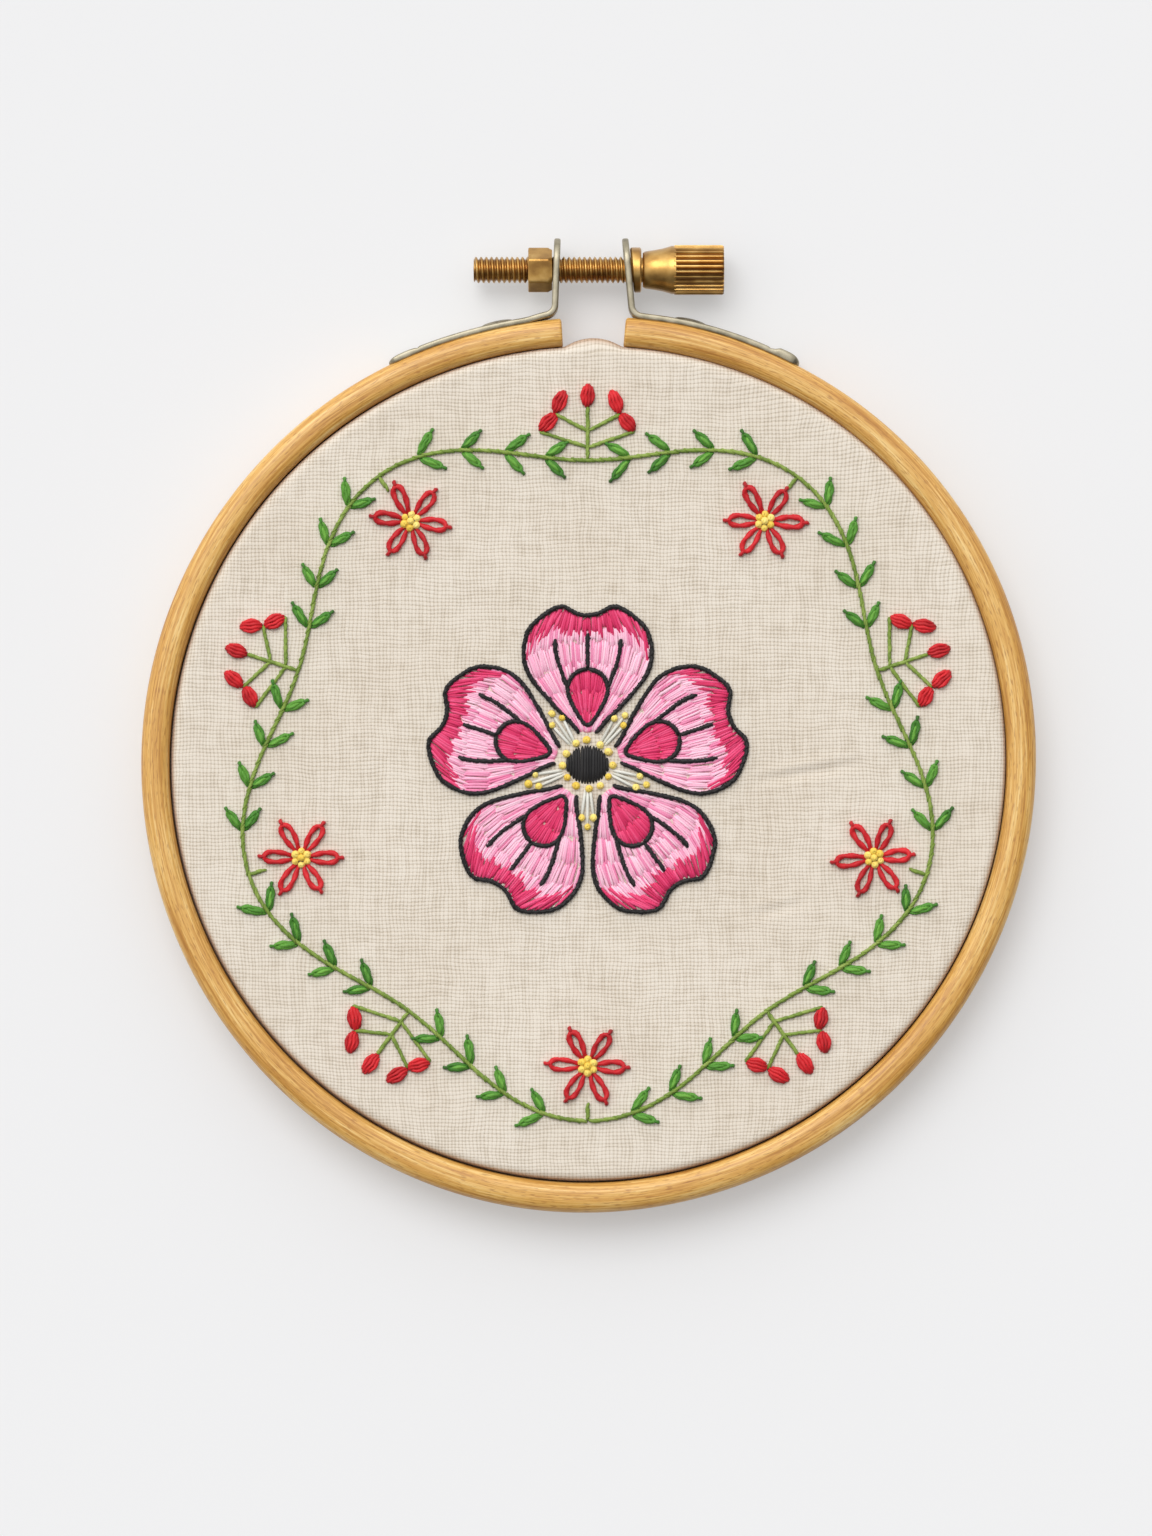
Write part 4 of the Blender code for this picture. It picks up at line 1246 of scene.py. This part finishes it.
stitched("daisy_loops", daisy_loops, "red", 0.98 * MM, 0.45 * MM, Twist_Pitch=4.2 * MM, Rings=26, **twisted)
knotted("daisy_knots", daisy_knots, "yellow", 0.55 * MM, 0.4 * MM, random.Random(18))
stitched("berries", berries, "red", 0.74 * MM, 0.5 * MM, Twist_Pitch=3.6 * MM, Rings=11, **twisted)

# %% Lay the reverse of the work
def reverse_of(stitches, dice):
    """What the needle leaves behind the cloth between one stitch and the next."""
    behind = []
    for here, there in zip(stitches, stitches[1:]):
        start, end = here.points[-1], there.points[0]
        if 0.2 * MM < (end - start).length < LONGEST_JUMP:
            behind.append(Stitch([start, end], -dice.uniform(0.0, 0.25) * MM, 1.0, dice.uniform(0.1, 0.7)))
    return behind


dice = random.Random(19)
for colour, fronts in (("pink", [filling["pink"]]), ("crimson", [filling["crimson"], filling["rim"]]),
                       ("black", [lines, eye]), ("olive", [stems]), ("green", [leaf_loops, leaf_hearts]),
                       ("red", [daisy_loops, berries])):
    behind = [stitch for front in fronts for stitch in reverse_of(front, dice)]
    stitched("reverse_" + colour, behind, colour, 0.48 * MM, -0.22 * MM, CLOTH_THICKNESS, Dive=-0.25 * MM,
             Rings=5, Sides=5)

# %% [markdown]
# The clamp is turned brass and stamped steel. Brass is a metal with its own colour, so it is bright
# where it mirrors the window and dark brown where it mirrors the dim side. A lathe leaves fine rings
# round its own line, which here is the screw's. A thin clear lacquer keeps it from going dull. The
# grooves are painted dark brown, as painted shade: the surface carries a number, groove, that says how deep a
# point lies.
# The lugs are cold-rolled steel with a zinc coat: pale, cloudy and only half glossy.

# %% Brass and zinc-coated steel
def turned_brass():
    """Turned brass: warm metal with fine lathe rings, a little tarnish, and painted shade in its grooves."""
    material, tree, shader = new_material("turned_brass")
    place = tree.add("ShaderNodeTexCoord").outputs["Object"]
    cloud = tree.noise(place, 1 / (2.5 * MM), 4.0)
    colour = tree.ramp(cloud, (0.3, "#9C7030"), (0.5, "#BE9148"), (0.7, "#D4AC64"))
    # Painted shade: the deeper a point lies in a groove, the more dark brown is mixed in.
    groove = tree.add("ShaderNodeAttribute", attribute_name="groove").outputs["Fac"]
    lathe = tree.noise(tree.vector("MULTIPLY", place, (1.0, 0.0, 0.0)), 1 / (0.12 * MM), 2.0)
    tree.feed(shader, {
        "Base Color": tree.blend(tree.mapped(groove, 0.25, 1.0, 0.0, 0.85), colour, "#6E4510"),
        "Metallic": 1.0, "Coat Weight": 0.6, "Coat Roughness": 0.35,
        "Roughness": tree.mapped(cloud, 0.3, 0.7, 0.28, 0.4),
        "Normal": tree.bump(0.25, 0.012, lathe),
    })
    return material


def coated_steel():
    """Cold-rolled steel with a thin zinc coat: pale grey, cloudy, half glossy."""
    material, tree, shader = new_material("zinc_coated_steel")
    place = tree.add("ShaderNodeTexCoord").outputs["Object"]
    cloud = tree.noise(place, 1 / (1.8 * MM), 5.0)
    tree.feed(shader, {
        "Base Color": tree.ramp(cloud, (0.3, "#8A8370"), (0.5, "#A19984"), (0.7, "#B5AD98")),
        "Metallic": 1.0, "Roughness": tree.mapped(cloud, 0.3, 0.7, 0.36, 0.52),
        "Normal": tree.bump(0.3, 0.015, tree.noise(place, 1 / (0.25 * MM), 2.0)),
    })
    return material


brass = turned_brass()
steel = coated_steel()
print("metals:", brass.name, steel.name)

# %% [markdown]
# Each lug starts as a flat blank with one round end, a hole and softened edges, which is then bent:
# straight along the ear, round a tight bend, and along the outer hoop. The blank is drawn flat here
# too, sliced where it will bend, and each of its points is then carried to the bent middle line.
# Near its tip the foot has a shallow notch, stands a little thicker and then thins to its end.

# %% Blank and bend of a lug
STRIP = 1.0 * MM
STRIP_WIDTH = 7.6 * MM
LUG_TOP = 81.5 * MM
FOOT_CLEARANCE = 0.3 * MM
FOOT_RADIUS = OUTER_RADIUS + FOOT_CLEARANCE + STRIP / 2
FOOT_ANGLE = radians(27.1)
BEND_RADIUS = 1.7 * MM
EAR_HOLE = 2.4 * MM
EDGE_ROUNDING = 0.3 * MM
CLAW_LENGTH, CLAW_TAPER = 4.4 * MM, 2.2 * MM
SUNK = 0.2 * MM
NOTCH_PLACE, NOTCH_DEPTH = 5.0 * MM, 0.16 * MM
LUGS = {  # side of the gap, distance of the ear from the middle at the screw, lean in degrees, claw's rise
    "lug_left": (-1, 5.75 * MM, 2.1, 0.08 * MM),
    "lug_right": (1, 5.35 * MM, 5.4, 0.5 * MM),
}


def strip_line(side, distance, lean):
    """The strip's middle line: its whole length, and a function from length to place and gap-side direction."""
    up = Vector((-side * sin(lean), cos(lean)))
    away = Vector((side * cos(lean), sin(lean)))
    at_axis = Vector((CLAMP_X + side * distance, AXIS_Y))
    top = at_axis + up * (LUG_TOP - AXIS_Y) / up.y
    start = at_axis + away * BEND_RADIUS
    drop = -up.dot(start) + sqrt((FOOT_RADIUS + BEND_RADIUS) ** 2 - away.dot(start) ** 2)
    centre = start + up * drop
    to_ear = atan2(-away.y, -away.x)
    to_foot = atan2(-centre.y, -centre.x)
    sweep = (to_foot - to_ear + pi) % (2 * pi) - pi
    foot_start = atan2(centre.y, centre.x)
    foot_sweep = GAP_ANGLE - side * FOOT_ANGLE - foot_start
    ear = (top - (centre - away * BEND_RADIUS)).length
    bend = BEND_RADIUS * abs(sweep)
    foot = FOOT_RADIUS * abs(foot_sweep)

    def place(length):
        if length <= ear:
            return top - up * length, -away
        if length <= ear + bend:
            facing = flat_polar(1.0, to_ear + sweep * (length - ear) / bend)
            return centre + facing * BEND_RADIUS, facing
        angle = foot_start + foot_sweep * (length - ear - bend) / foot
        return flat_polar(FOOT_RADIUS, angle), -flat_polar(1.0, angle)

    axis_length = (top - at_axis).length
    return ear + bend + foot, (ear, ear + bend), axis_length, place


def seated(angle, run):
    """How far a foot moves outwards to bite a little into the bulging wood, in full 3 mm from the bend."""
    return (out_of_round(angle, BULGES) - SUNK - FOOT_CLEARANCE) * clamped(run / (3.0 * MM))


def lug_blank(name, length, axis_length):
    """The flat blank along X, with its hole, softened edges and rounded corners."""
    curve = bpy.data.curves.new(name, "CURVE")
    curve.dimensions = "2D"
    curve.fill_mode = "BOTH"
    curve.extrude = STRIP / 2 - EDGE_ROUNDING
    curve.bevel_depth = EDGE_ROUNDING
    curve.bevel_resolution = 2
    curve.offset = -EDGE_ROUNDING
    half = STRIP_WIDTH / 2
    corner = 1.3 * MM
    outline = arc(Vector((half, 0.0)), half, pi / 2, 3 * pi / 2, 32)
    outline += arc(Vector((length - corner, corner - half)), corner, -pi / 2, 0.0, 6)
    outline += arc(Vector((length - corner, half - corner)), corner, 0.0, pi / 2, 6)
    hole = arc(Vector((axis_length, 0.0)), EAR_HOLE, 0.0, -2 * pi, 40)[:-1]
    for ring in (outline, hole):
        spline = curve.splines.new("POLY")
        spline.points.add(len(ring) - 1)
        for point, spot in zip(spline.points, ring):
            point.co = (spot.x, spot.y, 0.0, 1.0)
        spline.use_cyclic_u = True
    return tidy_mesh(plain_mesh(placed(name, curve)))


def bent_lug(name, side, distance, lean_degrees, claw_rise):
    """Slice the blank where it bends and carry its points to the bent line."""
    length, bends, axis_length, place = strip_line(side, distance, radians(lean_degrees))
    mesh = lug_blank(name, length, axis_length)
    cuts = [bends[0] + (bends[1] - bends[0]) * i / 10 for i in range(11)]
    foot_cuts = round((length - bends[1]) / (0.9 * MM))
    cuts += [bends[1] + (length - bends[1]) * i / foot_cuts for i in range(1, foot_cuts)]
    cuts += [length - NOTCH_PLACE + step * 0.2 * MM for step in (-2, -1, 0, 1, 2, 3, 4, 5, 6)]
    cuts += [length - step * 0.15 * MM for step in range(1, 8)]
    work = bmesh.new()
    work.from_mesh(mesh)
    for cut in sorted(cuts):
        bmesh.ops.bisect_plane(work, geom=work.verts[:] + work.edges[:] + work.faces[:], dist=0.001 * MM,
                               plane_co=(cut, 0.0, 0.0), plane_no=(1.0, 0.0, 0.0))
    for vertex in work.verts:
        x, across, thick = vertex.co
        outward = -thick if thick < 0 else 0.0
        claw = clamped((x - length + CLAW_LENGTH) / (0.8 * MM))
        notch = exp(-((x - length + NOTCH_PLACE) / (0.28 * MM)) ** 2)
        taper = 1 - sqrt(1 - clamped((x - length + CLAW_TAPER) / CLAW_TAPER) ** 2)
        grown = claw_rise * claw * (1 - taper) - NOTCH_DEPTH * notch - 0.6 * STRIP * taper
        change = grown * outward / (STRIP / 2)
        spot, facing = place(x)
        lift = seated(atan2(spot.y, spot.x), x - bends[1])
        spot = spot + facing * (thick - change - lift)
        vertex.co = HOOP + Vector((spot.x, spot.y, AXIS_Z + across))
    bmesh.ops.recalc_face_normals(work, faces=work.faces)
    work.to_mesh(mesh)
    work.free()
    piece = piece_from("bent_" + name, mesh, steel, sharp=50.0)
    return settle(piece, "hoop", "lug_steel", name)


for lug_name, (lug_side, lug_distance, lug_lean, lug_claw) in LUGS.items():
    bent_lug(lug_name, lug_side, lug_distance, lug_lean, lug_claw)

# %% [markdown]
# A flat-headed rivet holds each foot to the hoop. Only its low round head shows. A small tree puts one
# flattened ball on each point of its guide, half sunk in the strip and turned to face outwards.

# %% Rivets
RIVET_ANGLE = radians(12.3)
RIVET_RADIUS, RIVET_RISE = 2.5 * MM, 0.45 * MM

rivet_tree, given = new_tree("rivet_heads", Geometry="Points", Float="Radius, Rise", Material="Metal")
ball = rivet_tree.add("GeometryNodeMeshUVSphere", {"Segments": 32, "Rings": 16, "Radius": given["Radius"]})
flatter = rivet_tree.math("DIVIDE", given["Rise"], given["Radius"])
squash = rivet_tree.add("ShaderNodeCombineXYZ", {"X": 1.0, "Y": 1.0, "Z": flatter})
dome = rivet_tree.add("GeometryNodeTransform", {"Geometry": ball, "Scale": squash})
facing = rivet_tree.add("ShaderNodeCombineXYZ", {"Y": pi / 2, "Z": rivet_tree.attribute("outward")})
heads = rivet_tree.add("GeometryNodeInstanceOnPoints", {
    "Points": given["Points"], "Instance": dome, "Rotation": facing,
})
end_tree(rivet_tree, heads, given["Metal"])

rivet_angles = [GAP_ANGLE - side * RIVET_ANGLE for side, *_ in LUGS.values()]
rivet_guide = bpy.data.meshes.new("rivet_places")
rivet_spots = [flat_polar(FOOT_RADIUS + STRIP / 2 + seated(angle, 10 * MM), angle) for angle in rivet_angles]
rivet_guide.from_pydata([HOOP + Vector((spot.x, spot.y, AXIS_Z)) for spot in rivet_spots], [], [])
mark_points(rivet_guide, "outward", rivet_angles)
rivet_mesh = grow("rivet_heads", rivet_guide, rivet_tree,
                  {"Radius": RIVET_RADIUS, "Rise": RIVET_RISE, "Metal": steel})
settle(piece_from("rivet_heads", rivet_mesh, steel), "hoop", "lug_steel")

# %% [markdown]
# The screw's thread and the knurl of its head are the same rule: a round bar whose surface dips where a
# wave that runs round it and along it is low. A thread goes once round the bar in each pitch. A knurl
# stands still along the bar and repeats many times round it. So one tree wraps a grid into a bar and
# cuts either kind of groove.

# %% Geometry Nodes tree for a grooved bar
bar_tree, given = new_tree(
    "grooved_bar", Geometry="Geometry", Vector="Start", Int="Rows, Columns", Material="Metal",
    Float="Length, Radius, Groove Depth, Grooves Round, Turns Along, End Rounding, Dirt")
grid = bar_tree.add("GeometryNodeMeshGrid", {
    "Size X": 1.0, "Size Y": 1.0, "Vertices X": given["Columns"], "Vertices Y": given["Rows"],
})
spot = bar_tree.add("ShaderNodeSeparateXYZ", {0: bar_tree.add("GeometryNodeInputPosition")}).outputs
around = bar_tree.math("ADD", spot["X"], 0.5)
share = bar_tree.math("ADD", spot["Y"], 0.5)
angle = bar_tree.math("MULTIPLY", around, 2 * pi)
length = bar_tree.math("MULTIPLY", share, given["Length"])
round_phase = bar_tree.math("MULTIPLY", around, given["Grooves Round"])
along_phase = bar_tree.math("MULTIPLY", share, given["Turns Along"])
phase = bar_tree.math("SUBTRACT", round_phase, along_phase)
saw = bar_tree.math("FRACT", phase)
swing = bar_tree.math("MULTIPLY_ADD", saw, 2.0, -1.0)
ridge = bar_tree.math("ABSOLUTE", swing)
cut = bar_tree.mapped(ridge, 0.12, 0.9, how="SMOOTHSTEP")
dip = bar_tree.math("MULTIPLY", cut, given["Groove Depth"])
grooved = bar_tree.math("SUBTRACT", given["Radius"], dip)
left_over = bar_tree.math("SUBTRACT", given["Length"], length)
to_end = bar_tree.math("MINIMUM", length, left_over)
inward = bar_tree.math("SUBTRACT", given["End Rounding"], to_end)
inward = bar_tree.math("MAXIMUM", inward, 0.0)
squared = bar_tree.math("MULTIPLY", inward, inward)
round_squared = bar_tree.math("MULTIPLY", given["End Rounding"], given["End Rounding"])
rest = bar_tree.math("SUBTRACT", round_squared, squared)
root = bar_tree.math("SQRT", rest)
drawn_in = bar_tree.math("SUBTRACT", given["End Rounding"], root)
limit = bar_tree.math("SUBTRACT", given["Radius"], drawn_in)
radius = bar_tree.math("MINIMUM", grooved, limit)
inside_ends = bar_tree.math("GREATER_THAN", to_end, 0.0001 * MM)
radius = bar_tree.math("MULTIPLY", radius, inside_ends)
level = bar_tree.math("COSINE", angle)
upright = bar_tree.math("SINE", angle)
place_y = bar_tree.math("MULTIPLY", level, radius)
place_z = bar_tree.math("MULTIPLY", upright, radius)
wrapped = bar_tree.add("ShaderNodeCombineXYZ", {"X": length, "Y": place_y, "Z": place_z})
moved = bar_tree.vector("ADD", wrapped, given["Start"])
# Painted shade: the groove's depth, scaled, is stored so that the brass darkens its grooves.
painted_groove_shade = bar_tree.math("MULTIPLY", cut, given["Dirt"])
marked = bar_tree.add("GeometryNodeStoreNamedAttribute", {"Geometry": grid, "Name": "groove", "Value": painted_groove_shade})
bar = bar_tree.add("GeometryNodeSetPosition", {"Geometry": marked, "Position": moved})
closed_bar = bar_tree.add("GeometryNodeMergeByDistance", {"Geometry": bar, "Distance": 0.0005 * MM})
end_tree(bar_tree, closed_bar, given["Metal"])


def grooved_bar(name, start, end, radius, depth, grooves, turns, rounding, rows, columns, dirt):
    """A grooved bar along the screw's line, from start to end counted from the clamp's middle."""
    return tidy_mesh(grow(name, bpy.data.meshes.new(name), bar_tree, {
        "Start": (CLAMP.x + start, CLAMP.y, CLAMP.z), "Length": end - start, "Radius": radius,
        "Groove Depth": depth, "Grooves Round": grooves, "Turns Along": turns, "End Rounding": rounding,
        "Rows": rows, "Columns": columns, "Dirt": dirt, "Metal": brass,
    }))


def turned(name, profile, steps=96):
    """Turn a closed profile of (place along the screw, radius) points round the screw's line."""
    mesh = bpy.data.meshes.new(name)
    edges = [(i, (i + 1) % len(profile)) for i in range(len(profile))]
    if profile[0][1] == 0.0:
        edges = edges[:-1]
    mesh.from_pydata([(x, radius, 0.0) for x, radius in profile], edges, [])
    carrier = placed(name, mesh)
    lathe = carrier.modifiers.new("Lathe", "SCREW")
    lathe.axis = "X"
    lathe.steps = lathe.render_steps = steps
    lathe.use_merge_vertices = True
    lathe.merge_threshold = 0.001 * MM
    mesh = tidy_mesh(plain_mesh(carrier))
    for vertex in mesh.vertices:
        vertex.co += CLAMP
    return mesh


def joined(name, meshes):
    """Several meshes as one."""
    work = bmesh.new()
    for mesh in meshes:
        work.from_mesh(mesh)
    return mesh_of(work, name, outwards=False)


# %% The clamping screw
TIP = screw_low.x - CLAMP.x - 0.3 * MM
HEAD_END = screw_high.x - CLAMP.x
THREAD_END = 5.2 * MM
PITCH = 0.8 * MM
CREST, THREAD_DEPTH = 2.05 * MM, 0.42 * MM
SHANK = 1.95 * MM
CONE_START = 7.62 * MM
CONE = [(0.0, 2.62), (0.3, 2.86), (1.8, 3.08), (3.0, 3.3), (3.9, 3.56), (4.5, 3.74)]  # along and radius, in mm
HEAD_START, HEAD_RADIUS = 12.27 * MM, 3.85 * MM
HEAD_ROUNDING = 0.5 * MM
KNURL_DEPTH, KNURLS = 0.5 * MM, 28

thread = grooved_bar("thread", TIP, THREAD_END, CREST, THREAD_DEPTH, 1.0, (THREAD_END - TIP) / PITCH,
                     0.5 * MM, 12 * round((THREAD_END - TIP) / PITCH), 49, 0.7)
knurl = grooved_bar("knurl", HEAD_START, HEAD_END, HEAD_RADIUS, KNURL_DEPTH, float(KNURLS), 0.0,
                    HEAD_ROUNDING, 80, 8 * KNURLS + 1, 1.3)
cone_profile = [(THREAD_END - 0.6 * MM, 0.0), (THREAD_END - 0.6 * MM, SHANK - 0.3 * MM),
                (THREAD_END - 0.2 * MM, SHANK), (CONE_START, SHANK)]
cone_profile += [(CONE_START + along_cone * MM, cone_radius * MM) for along_cone, cone_radius in CONE]
cone_profile += [(HEAD_START + 0.5 * MM, CONE[-1][1] * MM), (HEAD_START + 0.5 * MM, 0.0)]
cone = turned("cone", cone_profile)
screw_mesh = joined("clamping_screw", [thread, cone, knurl])
settle(piece_from("clamping_screw", screw_mesh, brass, sharp=40.0), "screw", "brass", "screw")

# %% [markdown]
# The collar is a thick brass washer. Its right side is square to the screw, and its left side sits
# flat against the leaning ear, so it is a little thicker at its top. The nut is six-sided, with its
# corners cut back by a shallow cone on the side that faces the ear.

# %% Collar and nut
COLLAR_RADIUS, COLLAR_EDGE = 3.5 * MM, 0.22 * MM
COLLAR_START = collar_low.x - CLAMP.x - 0.45 * MM
COLLAR_CLEARANCE = 0.1 * MM
COLLAR_END = collar_high.x - CLAMP.x
COLLAR_BORE = 2.02 * MM
NUT_START, NUT_END = -10.1 * MM, -6.42 * MM
NUT_RADIUS, NUT_TURN = 3.5 * MM, radians(5.0)
NUT_BORE = 2.12 * MM

collar_profile = [
    (COLLAR_START, COLLAR_BORE), (COLLAR_START, COLLAR_RADIUS - COLLAR_EDGE),
    (COLLAR_START + COLLAR_EDGE, COLLAR_RADIUS), (COLLAR_END - COLLAR_EDGE, COLLAR_RADIUS),
    (COLLAR_END, COLLAR_RADIUS - COLLAR_EDGE), (COLLAR_END, COLLAR_BORE),
]
collar_mesh = turned("brass_collar", collar_profile)
_, ear_distance, ear_lean, _ = LUGS["lug_right"]
for vertex in collar_mesh.vertices:
    place = vertex.co - CLAMP
    seat = ear_distance + (STRIP / 2) / cos(radians(ear_lean)) + COLLAR_CLEARANCE
    seat -= place.y * sin(radians(ear_lean)) / cos(radians(ear_lean))
    share = (COLLAR_END - place.x) / (COLLAR_END - COLLAR_START)
    vertex.co.x += share * (seat - COLLAR_START)
collar = piece_from("brass_collar", collar_mesh, brass)
settle(collar, "collar", "brass", "collar")


def hexagon_radius(angle):
    """Distance from a six-sided nut's middle to its edge, its corners slightly rounded."""
    off_flat = (angle - NUT_TURN) % (pi / 3) - pi / 6
    return min(NUT_RADIUS * cos(pi / 6) / cos(off_flat), 0.985 * NUT_RADIUS)


def nut_mesh():
    """A six-sided nut whose outer face is cut back at the corners by a shallow cone."""
    chamfer = 0.3 * MM
    rows = [(NUT_START, 0.0, NUT_BORE), (NUT_START, 0.35, None), (NUT_START + 0.12 * MM, 0.0, None),
            (NUT_END - 2 * chamfer, 0.0, None), (NUT_END - chamfer, 0.55, None), (NUT_END, 1.0, None),
            (NUT_END, 0.0, NUT_BORE)]
    steps = 144
    work = bmesh.new()
    rings = []
    for x, cut_back, fixed in rows:
        ring = []
        for i in range(steps):
            angle = 2 * pi * i / steps
            widest = NUT_RADIUS - cut_back * chamfer
            radius = fixed if fixed else min(hexagon_radius(angle), widest) - 0.08 * MM * (cut_back > 0.3)
            ring.append(work.verts.new(CLAMP + Vector((x, radius * cos(angle), radius * sin(angle)))))
        rings.append(ring)
    for i in range(len(rings)):
        near, far = rings[i], rings[(i + 1) % len(rings)]
        for j in range(steps):
            k = (j + 1) % steps
            work.faces.new((near[j], far[j], far[k], near[k]))
    return mesh_of(work, "brass_nut")


settle(piece_from("brass_nut", nut_mesh(), brass, sharp=20.0), "hoop", "brass", "nut")
